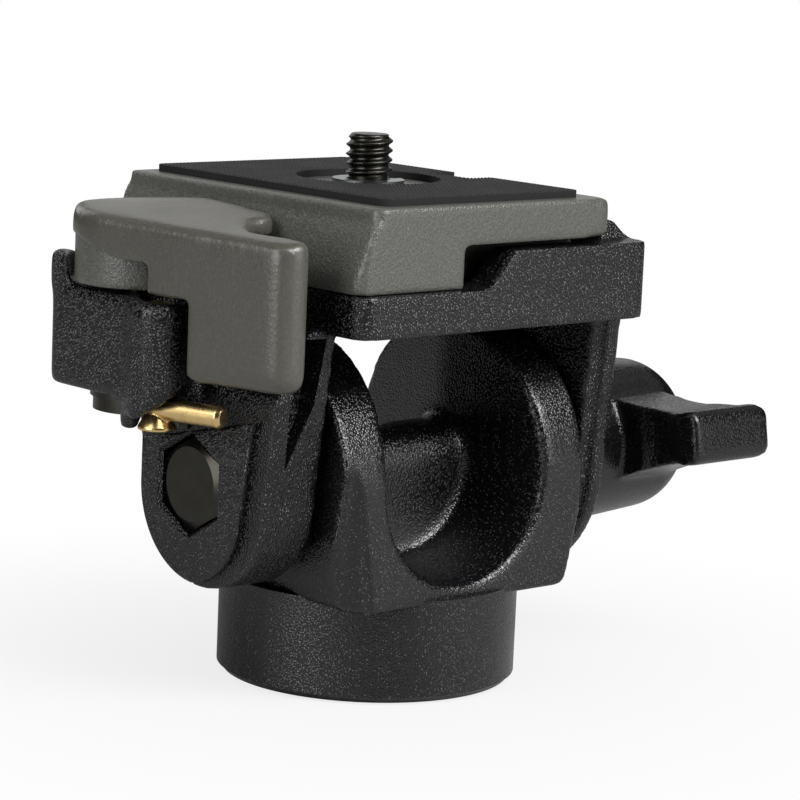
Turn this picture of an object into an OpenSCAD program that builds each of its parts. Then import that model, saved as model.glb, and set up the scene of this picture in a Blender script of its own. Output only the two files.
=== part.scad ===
// Tilt head for a monopod: a cast yoke, a platform that tilts on a cross bolt, a wing knob that
// locks the tilt, and a quick-release plate held by a cam lever. Millimetres, +Z up. The origin is
// the mouth of the foot's thread, the tilt axis runs along X and the front is towards -Y.

/* [Yoke] */
// Radius of the round foot
foot_r = 20.5; // [18.5:0.1:21]
// Height of the foot below the yoke block
foot_h = 13; // [12:0.1:13.6]
// Height of the tilt axis above the foot
axis_z = 28.7; // [28.5:0.1:29.5]
// Radius of the rounded arm tops, which is also half the depth of the block
arm_r = 19.2; // [18:0.1:19.6]
// Half width of the U-trough between the arms
trough_r = 14.2; // [12:0.1:14.4]
// Half width over the arms
arm_out = 21.3; // [20.8:0.1:21.4]
// Half thickness of the web that carries the cross bore
web_half = 5.4; // [4.6:0.1:7]
// Draft of the trough: how much narrower each side is at the middle of the yoke
trough_draft = 2.6; // [1.6:0.1:3]
// Height of the lowest point of the trough
trough_z = 15.1; // [14.8:0.1:16]
// Radius of the brake boss on each arm
boss_r = 12.4; // [9:0.1:13]
// Radius of the monopod's stud, 3/8 inch
stud_r = 4.7625; // [4.5:0.0125:5]

/* [Tilt pivot] */
// Radius of the cross bolt
bolt_r = 3.5; // [3:0.05:3.6]
// Width across flats of the bolt head
bolt_flats = 11; // [10:0.1:11.2]
// Height of the bolt head
bolt_head_h = 4.8; // [4:0.1:5]
// Thickness of a brake washer
brake_t = 0.7; // [0.5:0.05:0.8]

/* [Platform] */
// Height of the receiver deck's underside above the tilt axis
deck_rise = 21.7; // [21.4:0.1:22.6]
// Thickness of the deck
deck_t = 5.6; // [5.2:0.1:6.4]
// Width of the deck beside the plate, on the lever side
deck_side = 2.6; // [2.4:0.05:2.8]
// Width of the hook's wall beside the plate
hook_w = 6.9; // [6.2:0.1:7.6]
// Width of the front and back stops, measured along Y
stop_w = 4.5; // [3.5:0.1:4.8]
// Height of the front and back stops above the deck
stop_h = 4.8; // [3.5:0.1:5.2]
// Radius of the left ear's tongue
tongue_r = 12.6; // [11:0.1:12.8]
// Outer face of the left ear
ear_face = -31.3; // [-31.5:0.1:-31]
// Radius of the right ear
right_ear_r = 18; // [15:0.1:18.4]
// Thickness of the right ear
right_ear_t = 4.3; // [4:0.1:4.6]

/* [Camera plate] */
// Width of the plate's top
plate_w = 42; // [41:0.1:42.2]
// Length of the plate
plate_l = 52; // [50:0.1:52.4]
// Middle of the plate, left of the foot's axis
plate_x = -1.7; // [-1.8:0.05:-1.6]
// Middle of the plate, behind the foot's axis
plate_y = 1.5; // [1.3:0.05:1.7]
// Height of the plate's feet below its flange
seat_h = 5.6; // [5.5:0.1:6]
// Thickness of the plate's flange
flange_t = 5.25; // [4.4:0.05:5.9]
// Thickness of the rubber pad
pad_t = 1; // [0.6:0.1:1.4]
// Radius of the camera screw, 1/4 inch
screw_r = 3.175; // [3:0.005:3.2]
// Radius of the camera screw's shoulder inside the plate
shoulder_r = 3.4; // [3.3:0.05:3.6]
// Height of the camera screw above the pad
screw_up = 5.8; // [4.5:0.1:6.5]

/* [Lock lever] */
// Lever pivot, left of the plate's edge
pivot_gap = 9.9; // [9.8:0.05:10.1]
// Lever pivot, behind the foot's axis
pivot_y = 10.2; // [10:0.05:10.4]
// Radius of the lever's head
head_r = 9.4; // [9:0.05:9.5]
// Radius of the cam below the head, on the plate's side
cam_r = 6.9; // [6:0.05:7]
// Height of the lever over its cam drum
lever_h = 11.4; // [11:0.1:12]
// Depth of the paddle below the drum
paddle_drop = 9.7; // [8:0.1:11]
// Front end of the paddle
paddle_end = -21.8; // [-23:0.1:-20]
// Thickness of the paddle
paddle_t = 5.2; // [4:0.1:5.6]
// Slope of the lever's top down to its outer side
crown_side = 6.6; // [5:0.1:7]
// Angle that the lever opens through
lever_open = 70; // [50:1:70]

/* [Housing and catch] */
// Width of the lever housing outside the lever's pivot
house_w = 8.4; // [8:0.1:8.9]
// Height of the lever housing
house_h = 13.6; // [12.6:0.1:14.1]
// Step from the receiver's floor down to the housing's top
house_step = 2.4; // [2.2:0.05:3]
// Catch spindle, left of the lever's pivot
catch_gap = 5; // [4.8:0.05:5.2]
// Catch spindle, behind the foot's axis
catch_y = 0; // [-0.2:0.05:0.2]
// Radius of the catch column
column_r = 4.2; // [3.8:0.05:4.3]
// Radius of the catch spindle
spindle_r = 1.5; // [1.2:0.05:1.6]
// Radius of the catch arm
catch_arm_r = 1.45; // [1:0.05:1.5]
// Reach of the catch arm from its spindle
catch_reach = 10.4; // [8:0.1:11]
// Angle that the catch turns through
catch_turn = 14; // [8:1:14]

/* [Knob] */
// Radius of the knob's dome
knob_r = 12; // [11:0.1:13]
// Middle of the dome along the tilt axis
knob_x = 45; // [43:0.1:46]
// Reach of a wing from the tilt axis
wing_reach = 25.5; // [22:0.1:27]
// Thickness of a wing
wing_t = 7.3; // [5:0.1:8]
// Thickness of a wing at its root
wing_root = 11.2; // [8:0.1:12]
// Angle of the wings above the horizontal
wing_angle = 9; // [0:1:90]

/* [Hidden] */
$fn = 64;
// Radial play of a turning fit
run = 0.05;
// Play between still pieces that meet in one body
slip = 0.02;
// Overlap that fuses two shapes of one piece
fuse = 0.4;
// Large size that a cut runs out to
far = 120;

// Stations along the tilt axis
boss_x = arm_out + 0.6;
ear_x = boss_x + brake_t;
head_x = ear_face - 0.6;
hex_floor = head_x + bolt_head_h;
right_out = ear_x + right_ear_t;
washer_x = right_out + 1.2;
thrust_x = washer_x + 0.8;
bolt_end = thrust_x + 16;
insert_end = bolt_end + 1.5;
insert_r = bolt_r + 1.5;
bush_r = stud_r + 2.7375;
knob_washer_r = knob_r - 3;
thrust_washer_r = knob_r - 3.6;
hex_flats = bolt_flats + 0.8;

// Left ear, whose tongue hangs a little off the tilt axis
ear_mid = -1.9;
ear_low = axis_z - 0.9;
pad_inset = 0.6;

// Receiver and plate, from the tilt axis upwards
deck_z = axis_z + deck_rise;
floor_z = deck_z + deck_t;
stop_z = floor_z + stop_h;
flange_z = floor_z + seat_h;
plate_z = flange_z + flange_t;
plate_left = plate_x - plate_w / 2;
plate_right = plate_x + plate_w / 2;
plate_front = plate_y - plate_l / 2;
plate_back = plate_y + plate_l / 2;
deck_front = plate_front - 0.7;
deck_back = plate_back + 0.7;
deck_left = min(plate_left - deck_side, -ear_x - deck_side);
deck_right = max(plate_right + hook_w, right_out - 0.7);
foot_left = plate_left - deck_side + 0.1;
foot_right = plate_right + 2.4;
hook_tip = plate_right + 1;
cut_left = plate_left + 15.3;
ramp_left = cut_left + 4;
head_pocket_r = 10;
screw_head_r = 8;
screw_head_z = floor_z + 2.4;
screw_head_top = flange_z - 0.4;
groove_r = screw_r - 0.25;
groove_h = 0.75;
pad_z = plate_z + pad_t;
screw_z = pad_z + screw_up;

// Release plunger in the receiver floor
plunger_x = plate_left + 4.2;
plunger_y = 12;
plunger_r = 2;
plunger_head_r = 3.2;
plunger_low = deck_z - 1.3;
plunger_room = floor_z - 4;

// Lever housing
pivot_x = plate_left - pivot_gap;
house_x = pivot_x - house_w;
house_top = floor_z - house_step;
house_low = house_top - house_h;
spring_room = house_top - 6.2;

// Lever outline: outer wall tangent to the head, arm and paddle inside it
wall_lean = 12;
lever_low = house_top + 0.4;
lever_top = lever_low + lever_h;
paddle_z = lever_low - paddle_drop;
skirt_z = lever_low + 4;
head_low = flange_z + 0.3;
paddle_back = -6.5;
arm_back = 0;
wave_back = 3.5;
cam_from = lever_open + 46;
head_in = head_r - 1.3;
knuckle_x = pivot_x + 5.1;
knuckle_y = pivot_y - 12;
knuckle_r = 3;
hollow_r = 5.1;
skirt_rise = 2.4;
crown_front = 3.4;
crown_back = 4.6;
pivot_r = 3;
pivot_end = lever_top - 2.2;
pivot_seat_r = 6.6;
pivot_seat_t = 0.9;
pivot_low = house_low - pivot_seat_t - 1.8;

// Catch
arm_dir = -74;
arm_z = house_low - 0.75;
hub_low = house_low - 3.5;
catch_x = pivot_x - catch_gap;
pin_x = ear_face - 1.5;
pin_y = catch_y + 0.4;
pin_r = 0.9;
pin_deep = 3;
column_low = house_low - 2.4;
column_top = house_top - 0.4;
catch_room = house_low + 5;

PAINT_BLACK = "#2b2b2e";
PAINT_TAUPE = "#66625a";
PAINT_GREY = "#63625d";
STEEL = "#8d8f92";
BLACK_STEEL = "#3a3a3c";
BRASS = "#c9a04e";
RUBBER = "#2f2f30";
NYLON = "#e6e3da";
FIBRE = "#5b4632";

// Shared shapes

// Cylinder on the tilt axis, between two stations
module on_axis(x0, x1, r) {
    translate([x0, 0, axis_z]) rotate([0, 90, 0]) cylinder(r = r, h = x1 - x0);
}

// Ring on the tilt axis
module axis_ring(x0, x1, r, bore) {
    difference() {
        on_axis(x0, x1, r);
        on_axis(x0 - 1, x1 + 1, bore);
    }
}

// Outline drawn in Y and Z, given depth along X
module along_x(x0, x1) {
    translate([x0, 0, 0]) rotate([90, 0, 90]) linear_extrude(x1 - x0) children();
}

// Outline drawn in X and Z, given depth along Y
module along_y(y0, y1) {
    translate([0, y1, 0]) rotate([90, 0, 0]) linear_extrude(y1 - y0) children();
}

// Outline drawn in X and Y, given height
module along_z(z0, z1) {
    translate([0, 0, z0]) linear_extrude(z1 - z0) children();
}

module disc(x, y, z0, z1, r) {
    translate([x, y, z0]) cylinder(r = r, h = z1 - z0);
}

module block(x0, x1, y0, y1, z0, z1) {
    translate([x0, y0, z0]) cube([x1 - x0, y1 - y0, z1 - z0]);
}

// Rectangle with round corners, made of true arcs
module round_rect(x0, x1, y0, y1, r) {
    translate([x0 + r, y0]) square([x1 - x0 - 2 * r, y1 - y0]);
    translate([x0, y0 + r]) square([x1 - x0, y1 - y0 - 2 * r]);
    for (x = [x0 + r, x1 - r], y = [y0 + r, y1 - r]) translate([x, y]) circle(r);
}

// Open ring that snaps on a pin
module snap_ring(x, y, z0, z1, r, bore, mouth) {
    difference() {
        disc(x, y, z0, z1, r);
        disc(x, y, z0 - 1, z1 + 1, bore);
        block(x, x + 2 * r, y - mouth / 2, y + mouth / 2, z0 - 1, z1 + 1);
    }
}

// Coil spring: one unbroken tube of six sides along a helix
module coil(x, y, z0, z1, coil_r, wire_r, turns) {
    rings = 12 * turns;
    sides = 6;
    pitch = (z1 - z0 - 2 * wire_r) / turns;
    echo(str("spring gap ", pitch - 2 * wire_r));
    slope = atan(pitch / (2 * PI * coil_r));
    function at(i, j) = let (a = 30 * i, b = 60 * j, u = coil_r + wire_r * cos(b), v = wire_r * sin(b))
        [u * cos(a) + v * sin(slope) * sin(a), u * sin(a) - v * sin(slope) * cos(a),
            wire_r + pitch * i / 12 + v * cos(slope)];
    function quad(i, j) = let (k = (j + 1) % sides, a = i * sides, b = a + sides)
        [[a + j, b + j, b + k], [a + j, b + k, a + k]];
    points = [for (i = [0:rings], j = [0:sides - 1]) at(i, j)];
    last = rings * sides;
    faces = concat([for (i = [0:rings - 1], j = [0:sides - 1], f = quad(i, j)) f],
        [for (j = [1:sides - 2]) [0, j, j + 1]],
        [for (j = [1:sides - 2]) [last, last + j + 1, last + j]]);
    translate([x, y, z0]) polyhedron(points, faces, convexity = 6);
}

// Yoke

// Front half of the trough, which narrows from the face towards the web
module trough_half() {
    mid_r = trough_r - trough_draft;
    reach = arm_r + 2;
    translate([0, 0, trough_z + trough_r]) rotate([90, 0, 0])
        linear_extrude(reach, scale = 1 + trough_draft / mid_r * reach / arm_r) {
            circle(mid_r);
            translate([-mid_r, 0]) square([2 * mid_r, axis_z]);
        }
}

module arm_outline() {
    translate([0, axis_z]) circle(arm_r);
    translate([-arm_r, foot_h]) square([2 * arm_r, axis_z - foot_h]);
}

module block_outline() {
    low = arm_out - 2.3;
    polygon([[-low, foot_h], [low, foot_h], [arm_out, foot_h + 10], [arm_out, far], [-arm_out, far],
        [-arm_out, foot_h + 10]]);
}

module web_outline() {
    translate([0, axis_z]) circle(web_half);
    translate([-web_half, 0]) square([2 * web_half, axis_z]);
}

// Sloping facet on a lower corner of the block on the bolt head's side, widest at the bottom
module corner_facet(sx, sy) {
    cut = 6;
    top = foot_h + 13;
    polyhedron([[sx * (arm_out + 1), sy * (arm_r + 1), foot_h - 1],
        [sx * (arm_out - cut - 2.3), sy * (arm_r + 1), foot_h - 1],
        [sx * (arm_out + 1), sy * (arm_r - cut), foot_h - 1], [sx * (arm_out + 1), sy * (arm_r + 1), top]],
        sx * sy > 0 ? [[0, 2, 1], [0, 1, 3], [1, 2, 3], [2, 0, 3]] : [[0, 1, 2], [0, 3, 1], [1, 3, 2], [2, 3, 0]]);
}

module yoke() {
    color(PAINT_BLACK) difference() {
        union() {
            translate([0, 0, 0.8]) cylinder(r = foot_r, h = foot_h - 0.8 + fuse);
            cylinder(r1 = foot_r - 0.8, r2 = foot_r, h = 0.8);
            difference() {
                intersection() {
                    along_x(-arm_out, arm_out) arm_outline();
                    along_y(-arm_r, arm_r) block_outline();
                }
                for (sy = [-1, 1]) corner_facet(-1, sy);
                difference() {
                    for (side = [0, 1]) mirror([0, side, 0]) trough_half();
                    along_x(-far, far) web_outline();
                }
            }
            on_axis(-boss_x, -arm_out + fuse, boss_r);
            on_axis(arm_out - fuse, boss_x, boss_r);
        }
        on_axis(-far, far, bolt_r + run);
        translate([0, 0, -1]) cylinder(r = bush_r + slip, h = foot_h);
    }
}

// Female 3/8 inch thread for the monopod's stud
module base_thread_bush() {
    color(BRASS) difference() {
        cylinder(r = bush_r, h = foot_h - 1.1);
        translate([0, 0, -1]) cylinder(r = stud_r, h = 2 * foot_h);
    }
}

module friction_washer_left() {
    color(FIBRE) axis_ring(-ear_x + slip, -boss_x, boss_r - 0.8, bolt_r + run);
}

module friction_washer_right() {
    color(FIBRE) axis_ring(boss_x, ear_x - slip, boss_r - 0.8, bolt_r + run);
}

// Tilt platform

// Tongue of the left ear, hanging from the deck
module tongue_outline() {
    translate([ear_mid, ear_low]) circle(tongue_r);
    polygon([[ear_mid - tongue_r, ear_low], [ear_mid + tongue_r, ear_low], [ear_mid + tongue_r + 4, deck_z + fuse],
        [ear_mid - tongue_r - 3, deck_z + fuse]]);
}

// Raised pad round the bolt's recess, a little inside the tongue, with a sloping top edge
module pad_outline() {
    r = tongue_r - pad_inset;
    intersection() {
        union() {
            translate([ear_mid, ear_low]) circle(r);
            translate([ear_mid - r, ear_low]) square([2 * r, far]);
        }
        polygon([[-far, 0], [far, 0], [far, axis_z], [20, axis_z + 2.4], [-20, axis_z + 11.8], [-far, axis_z + 11.8]]);
    }
}

module left_ear() {
    lean = 3.8;
    lean_z = house_low + 2.2;
    difference() {
        intersection() {
            along_x(ear_face, -ear_x) tongue_outline();
            along_y(-far, far) polygon([[-ear_x, 0], [ear_face, 0], [ear_face, lean_z],
                [ear_face + lean, lean_z + lean], [ear_face + lean, deck_z + fuse], [-ear_x, deck_z + fuse]]);
        }
        // Pointed pocket in the front edge, beside the gusset
        along_y(-far, ear_mid - tongue_r + 1.8) polygon([[ear_face + 2.4, axis_z + 4.4], [ear_face + 2.6, deck_z - 3],
            [ear_face + 5.4, deck_z - 3]]);
    }
    along_x(ear_face - 1, ear_face + fuse) pad_outline();
}

module right_ear_outline(r) {
    translate([0, axis_z]) circle(r);
    polygon([[-r, axis_z], [r, axis_z], [r + 2, deck_z + fuse], [-r - 2, deck_z + fuse]]);
}

module right_ear() {
    step = ear_x + 1.8;
    along_x(ear_x, step + fuse) right_ear_outline(right_ear_r - 1.2);
    along_x(step, right_out) right_ear_outline(right_ear_r);
}

module stop_outline() {
    polygon([[ramp_left, floor_z - fuse], [ramp_left, floor_z], [ramp_left + 4.3, stop_z], [deck_right, stop_z],
        [deck_right, floor_z - fuse]]);
}

// Fixed hook that holds the plate's right edge down
module hook_outline() {
    polygon([[deck_right, floor_z - fuse], [deck_right, stop_z], [deck_right - 3.2, stop_z + 2.6],
        [hook_tip + 0.3, stop_z + 2.6], [hook_tip, stop_z + 1.8], [foot_right + 0.4, floor_z + 1.2],
        [foot_right + 0.4, floor_z - fuse]]);
}

module housing() {
    along_z(house_low, house_top) round_rect(house_x, deck_left + fuse, pivot_y - 11.2, pivot_y + 10, 1.6);
    difference() {
        disc(catch_x, catch_y, column_low, column_top, column_r);
        // The column's foot is cut at a slant on the arm's side
        translate([catch_x, catch_y, house_low - 0.4]) rotate([0, -33, -42])
            translate([-far / 2, -far / 2, -far]) cube(far);
    }
    // Upright wall behind the lever, which follows its drum, and a foundry stub below
    along_z(house_top - fuse, house_top + 4.4) difference() {
        round_rect(house_x, house_x + 4.6, pivot_y + 4, pivot_y + 10, 0.7);
        translate([pivot_x, pivot_y]) circle(head_r + 0.4);
    }
    disc(house_x + 2, pivot_y - 6.2, house_low - 4, house_low + fuse, 1.45);
}

// Room for the catch arm's swing, cut out of the column's foot
module catch_sweep() {
    room = catch_arm_r + 0.35;
    last = arm_dir - catch_turn;
    along_z(column_low - 1, arm_z + room) translate([catch_x, catch_y])
        polygon(concat([room * [cos(arm_dir + 90), sin(arm_dir + 90)]],
            [for (a = [arm_dir + 8 : -8 : last - 8]) (catch_reach + 0.8) * [cos(a), sin(a)]],
            [room * [cos(last - 90), sin(last - 90)]]));
}

module tilt_platform() {
    color(PAINT_BLACK) difference() {
        union() {
            along_z(deck_z, floor_z) round_rect(deck_left, deck_right, deck_front, deck_back, 2);
            intersection() {
                union() {
                    along_y(deck_front, deck_front + stop_w) stop_outline();
                    along_y(deck_back - stop_w, deck_back) stop_outline();
                }
                along_z(0, far) round_rect(deck_left, deck_right, deck_front, deck_back, 2);
            }
            along_y(deck_front + stop_w - fuse, deck_back - stop_w + fuse) hook_outline();
            left_ear();
            right_ear();
            housing();
        }
        on_axis(-far, far, bolt_r + 2 * run);
        // Hexagonal recess for the bolt's head
        translate([-far, 0, axis_z]) rotate([0, 90, 0])
            cylinder(r = hex_flats / 2 / cos(30), h = far + hex_floor, $fn = 6);
        // Lever pivot, the room for its head beside the ear, and its spring's chamber
        disc(pivot_x, pivot_y, pivot_low - 0.4, far, pivot_r + run);
        disc(pivot_x, pivot_y, pivot_low - 0.4, house_low, pivot_seat_r + 0.4);
        disc(pivot_x, pivot_y, spring_room, far, 5.8);
        // Catch spindle and its spring's chamber
        disc(catch_x, catch_y, hub_low, far, spindle_r + run);
        disc(catch_x, catch_y, catch_room, far, 2.8);
        catch_sweep();
        disc(pin_x, pin_y, house_low - 1, house_low + pin_deep + slip, pin_r + slip);
        // Plunger, its spring's chamber and the pocket below the camera screw's ring
        disc(plunger_x, plunger_y, 0, far, plunger_r + run);
        disc(plunger_x, plunger_y, plunger_room, far, plunger_head_r + 0.3);
        disc(plate_x, plate_y, floor_z - 1.6, far, head_pocket_r);
    }
}

module pivot_bolt() {
    color(BLACK_STEEL) {
        intersection() {
            translate([head_x, 0, axis_z]) rotate([0, 90, 0])
                cylinder(r = bolt_flats / 2 / cos(30), h = bolt_head_h - slip, $fn = 6);
            translate([head_x, 0, axis_z]) rotate([0, 90, 0])
                cylinder(r1 = bolt_flats / 2 - 0.1, r2 = bolt_flats / 2 + bolt_head_h * 1.6, h = bolt_head_h);
        }
        on_axis(hex_floor - fuse, bolt_end, bolt_r);
    }
}

// Tilt lock

module knob_washer() {
    color(STEEL) axis_ring(right_out + slip, washer_x, knob_washer_r, bolt_r + 2 * run);
}

module knob_thrust_washer() {
    color(NYLON) axis_ring(washer_x + slip, thrust_x - slip, thrust_washer_r, bolt_r + 2 * run);
}

module knob_insert() {
    color(BRASS) axis_ring(thrust_x, insert_end, insert_r, bolt_r + run);
}

// Dome of the knob, turned about the tilt axis
module knob_dome() {
    waist = knob_r - 1.6;
    dome_r = knob_r - 0.6;
    translate([0, 0, axis_z]) rotate([0, 90, 0]) rotate_extrude() intersection() {
        union() {
            translate([0, knob_x]) circle(dome_r);
            polygon([[0, thrust_x], [waist, thrust_x], [knob_r, thrust_x + 3.5], [dome_r, knob_x], [0, knob_x]]);
        }
        square([far, far]);
    }
}

// One wing: a blade that flares outwards to a round-ended tip
module wing() {
    back = knob_x - 12;
    tip = knob_x - 7.6;
    end = knob_x + 7.8;
    half = wing_t / 2;
    root = wing_root / 2;
    intersection() {
        along_z(-wing_root, wing_root) difference() {
            polygon([[back, 0], [back, -7], [tip, -wing_reach], [end - 0.6, -wing_reach], [end, -wing_reach + 0.6],
                [end - 1.6, -6], [end - 4, 0]]);
            // Finger scoop on the side that faces the head
            translate([tip - 6.2, -wing_reach + 6]) circle(7);
        }
        // The blade thins quickly from its root and widens a little at its tip
        along_x(0, far) for (side = [0, 1]) mirror([0, side]) polygon([[2, -fuse], [2, root + 1],
            [-12, root + 0.6], [-14.2, root], [-15.5, (root + half) / 2], [-17, half + 0.3], [-18.5, half],
            [-21, half], [-wing_reach - 1, half + 0.25], [-wing_reach - 1, -fuse]]);
        // Its far edge is round
        along_y(-far, far) {
            translate([0, -wing_root]) square([end - 4, 2 * wing_root]);
            round_rect(end - 12, end, -half - 0.3, half + 0.3, 2);
        }
    }
}

module wing_knob() {
    color(PAINT_BLACK) difference() {
        union() {
            knob_dome();
            translate([0, 0, axis_z]) for (a = [0, 180]) rotate([a - wing_angle, 0, 0]) wing();
        }
        on_axis(thrust_x - 1, insert_end + 0.3, insert_r + slip);
    }
}

// Lock lever

// Point of the outer wall at a given Y: the wall leans in towards the front
function wall_x(y) = pivot_x - head_r / cos(wall_lean) + (pivot_y - y) * tan(wall_lean);

// Arm between two stations, inside the outer wall
module arm_part(y0, y1, t) {
    polygon([[wall_x(y0), y0], [wall_x(y1), y1], [wall_x(y1) + t, y1], [wall_x(y0) + t, y0]]);
}

// Rounded front end of the paddle
module paddle_outline() {
    r = 1.8;
    arm_part(paddle_back, paddle_end + r, paddle_t);
    arm_part(paddle_back, paddle_end + r, r);
    y = paddle_end + r;
    for (x = [wall_x(y) + r, wall_x(y) + paddle_t - r]) translate([x, y]) circle(r);
    translate([wall_x(y) + r, paddle_end]) square([paddle_t - 2 * r, 2 * r]);
}

// Head of the lever seen from above, with the knuckle beside the plate
module head_outline() {
    side_round(head_in, head_r);
    hollow = [for (a = [195 : -15 : 90]) [pivot_x + 5.1 + hollow_r * cos(a), pivot_y - 20.4 + hollow_r * sin(a)]];
    polygon(concat([[wall_x(pivot_y - 2), pivot_y - 2], [wall_x(-12), -12], [wall_x(-12) + paddle_t, -12]], hollow,
        [[knuckle_x, knuckle_y - knuckle_r], [knuckle_x + knuckle_r, knuckle_y],
        [knuckle_x + knuckle_r, pivot_y - 1]]));
    translate([knuckle_x, knuckle_y]) circle(knuckle_r);
    paddle_outline();
}

// Disc about the pivot with its full radius on the outer side only, so that it passes the plate
module side_round(inner, outer) {
    translate([pivot_x, pivot_y]) {
        circle(inner);
        intersection() {
            circle(outer);
            polygon(concat([[0, 0]], [for (a = [cam_from : 12 : cam_from + 168]) 2 * head_r * [cos(a), sin(a)]]));
        }
    }
}

module skirt_outline() {
    intersection() {
        head_outline();
        translate([-far, -far]) square([far + pivot_x, 2 * far]);
    }
    translate([pivot_x, pivot_y]) circle(cam_r);
}

// Curved lower edge of the skirt, seen from the lever's side
module skirt_edge() {
    wave = [for (t = [0 : 0.1 : 1]) [wave_back + t * 12, skirt_z + skirt_rise * t * t * (3 - 2 * t)]];
    polygon(concat([[arm_back, 0], [arm_back, skirt_z]], wave, [[far, skirt_z + skirt_rise], [far, 0]]));
}

// Room below one slope of the lever's top
module crown_slope(front, side) {
    translate([pivot_x + 9.1, pivot_y - 5.2, lever_top]) rotate([front, -side, 0])
        translate([-far / 2, -far / 2, -far]) cube(far);
}

module lock_lever() {
    color(PAINT_TAUPE) difference() {
        intersection() {
            union() {
                along_z(head_low, lever_top) head_outline();
                difference() {
                    along_z(skirt_z, head_low + fuse) skirt_outline();
                    along_x(-far, pivot_x) skirt_edge();
                }
                along_z(lever_low, head_low + fuse) side_round(cam_r, head_r - 0.2);
                along_z(lever_low, head_low + fuse) arm_part(arm_back, paddle_back - fuse, paddle_t);
                along_z(paddle_z, head_low + fuse) paddle_outline();
            }
            // The top is highest beside the plate and falls away to the side, the front and the back
            crown_slope(crown_front, crown_side);
            crown_slope(-crown_back, 0);
        }
        disc(pivot_x, pivot_y, 0, pivot_end + 0.2, pivot_r + slip);
    }
}

module lever_pivot_screw() {
    color(BLACK_STEEL) {
        disc(pivot_x, pivot_y, pivot_low, house_low - pivot_seat_t, pivot_seat_r - 0.4);
        disc(pivot_x, pivot_y, house_low - pivot_seat_t - fuse, pivot_end, pivot_r);
    }
}

module lever_pivot_washer() {
    color(STEEL) difference() {
        disc(pivot_x, pivot_y, house_low - pivot_seat_t + slip, house_low - slip, pivot_seat_r);
        disc(pivot_x, pivot_y, 0, far, pivot_r + run);
    }
}

module lever_spring() {
    color(STEEL) coil(pivot_x, pivot_y, spring_room + 0.1, house_top - 0.3, pivot_r + 1.5, 0.4, 4);
}

// Safety catch

module safety_catch() {
    color(BRASS) {
        disc(catch_x, catch_y, hub_low, column_top - 0.2, spindle_r);
        disc(catch_x, catch_y, hub_low, hub_low + 0.4, 2.5);
        translate([catch_x, catch_y, hub_low + 0.4]) cylinder(r1 = 2.5, r2 = spindle_r + 0.1, h = 1.5);
        translate([catch_x, catch_y, arm_z]) rotate([0, 90, arm_dir]) {
            cylinder(r = catch_arm_r, h = catch_reach - 0.5);
            translate([0, 0, catch_reach - 0.5]) cylinder(r1 = catch_arm_r, r2 = catch_arm_r - 0.5, h = 0.5);
        }
    }
}

module catch_spring() {
    color(STEEL) coil(catch_x, catch_y, catch_room + 0.1, house_top - 2.4, spindle_r + 0.8, 0.25, 5);
}

module catch_retaining_ring() {
    color(STEEL) snap_ring(catch_x, catch_y, house_top - 2, house_top - 1.4, spindle_r + 1, spindle_r + slip, 1.6);
}

// Pin pressed into the housing beside the catch
module catch_stop_pin() {
    color(BLACK_STEEL) disc(pin_x, pin_y, house_low - 3.8, house_low + pin_deep, pin_r);
}

// Release plunger

module release_plunger() {
    color(BRASS) {
        disc(plunger_x, plunger_y, plunger_low, floor_z - 1, plunger_r);
        disc(plunger_x, plunger_y, floor_z - 1.9, floor_z - 0.1, plunger_head_r);
    }
}

module plunger_spring() {
    color(STEEL) coil(plunger_x, plunger_y, plunger_room, floor_z - 2.95, plunger_r + 0.65, 0.2, 1);
}

module plunger_retainer() {
    color(STEEL) snap_ring(plunger_x, plunger_y, plunger_low + 0.2, plunger_low + 0.8, 3.4, plunger_r + slip, 2);
}

// Camera plate

// Section of the plate across its length: flared feet under a plain flange
module plate_section() {
    wide = plate_left - foot_left;
    flare = [for (t = [[0, 0.14], [0.08, 0.2], [0.16, 0.32], [0.28, 0.46], [0.42, 0.6], [0.58, 0.73], [0.76, 0.86],
        [0.9, 0.95], [1, 1]])
        [foot_left + wide * t[0], floor_z + 1 + (plate_z - floor_z - 2.8) * t[1]]];
    polygon(concat([[plate_left + 4, plate_z - 1.8], [plate_left + 4, flange_z + 1], [plate_right - 1, flange_z + 1],
        [plate_right - 1, flange_z], [foot_right, floor_z + 1.4], [foot_right, floor_z], [foot_left, floor_z]], flare));
}

module quick_release_plate() {
    color(PAINT_GREY) difference() {
        union() {
            along_z(flange_z, plate_z) round_rect(plate_left, plate_right, plate_front, plate_back, 1.6);
            intersection() {
                along_y(plate_front, plate_back) plate_section();
                along_z(0, far) round_rect(foot_left, foot_right, plate_front, plate_back, 1.6);
            }
        }
        // Cut-outs over the platform's stops and ramps
        block(cut_left, far, -far, deck_front + stop_w + 3.4, 0, flange_z);
        block(cut_left, far, deck_back - stop_w - 3.4, far, 0, flange_z);
        // Camera screw and the pocket for its head
        disc(plate_x, plate_y, 0, far, shoulder_r + run);
        disc(plate_x, plate_y, 0, screw_head_top + 0.2, head_pocket_r);
    }
}

module plate_pad() {
    inset = 3;
    right = plate_right - inset * 1.4;
    color(RUBBER) difference() {
        along_z(plate_z, pad_z) round_rect(plate_left + inset, right, plate_front + inset * 0.75,
            plate_back - inset * 0.75, 1.5);
        disc(plate_x, plate_y, 0, far, 9.8);
        // Notch in the right edge
        along_z(0, far) round_rect(right - 4.4, right + 9, plate_y - 6.6, plate_y + 1, 1.2);
    }
}

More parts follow.
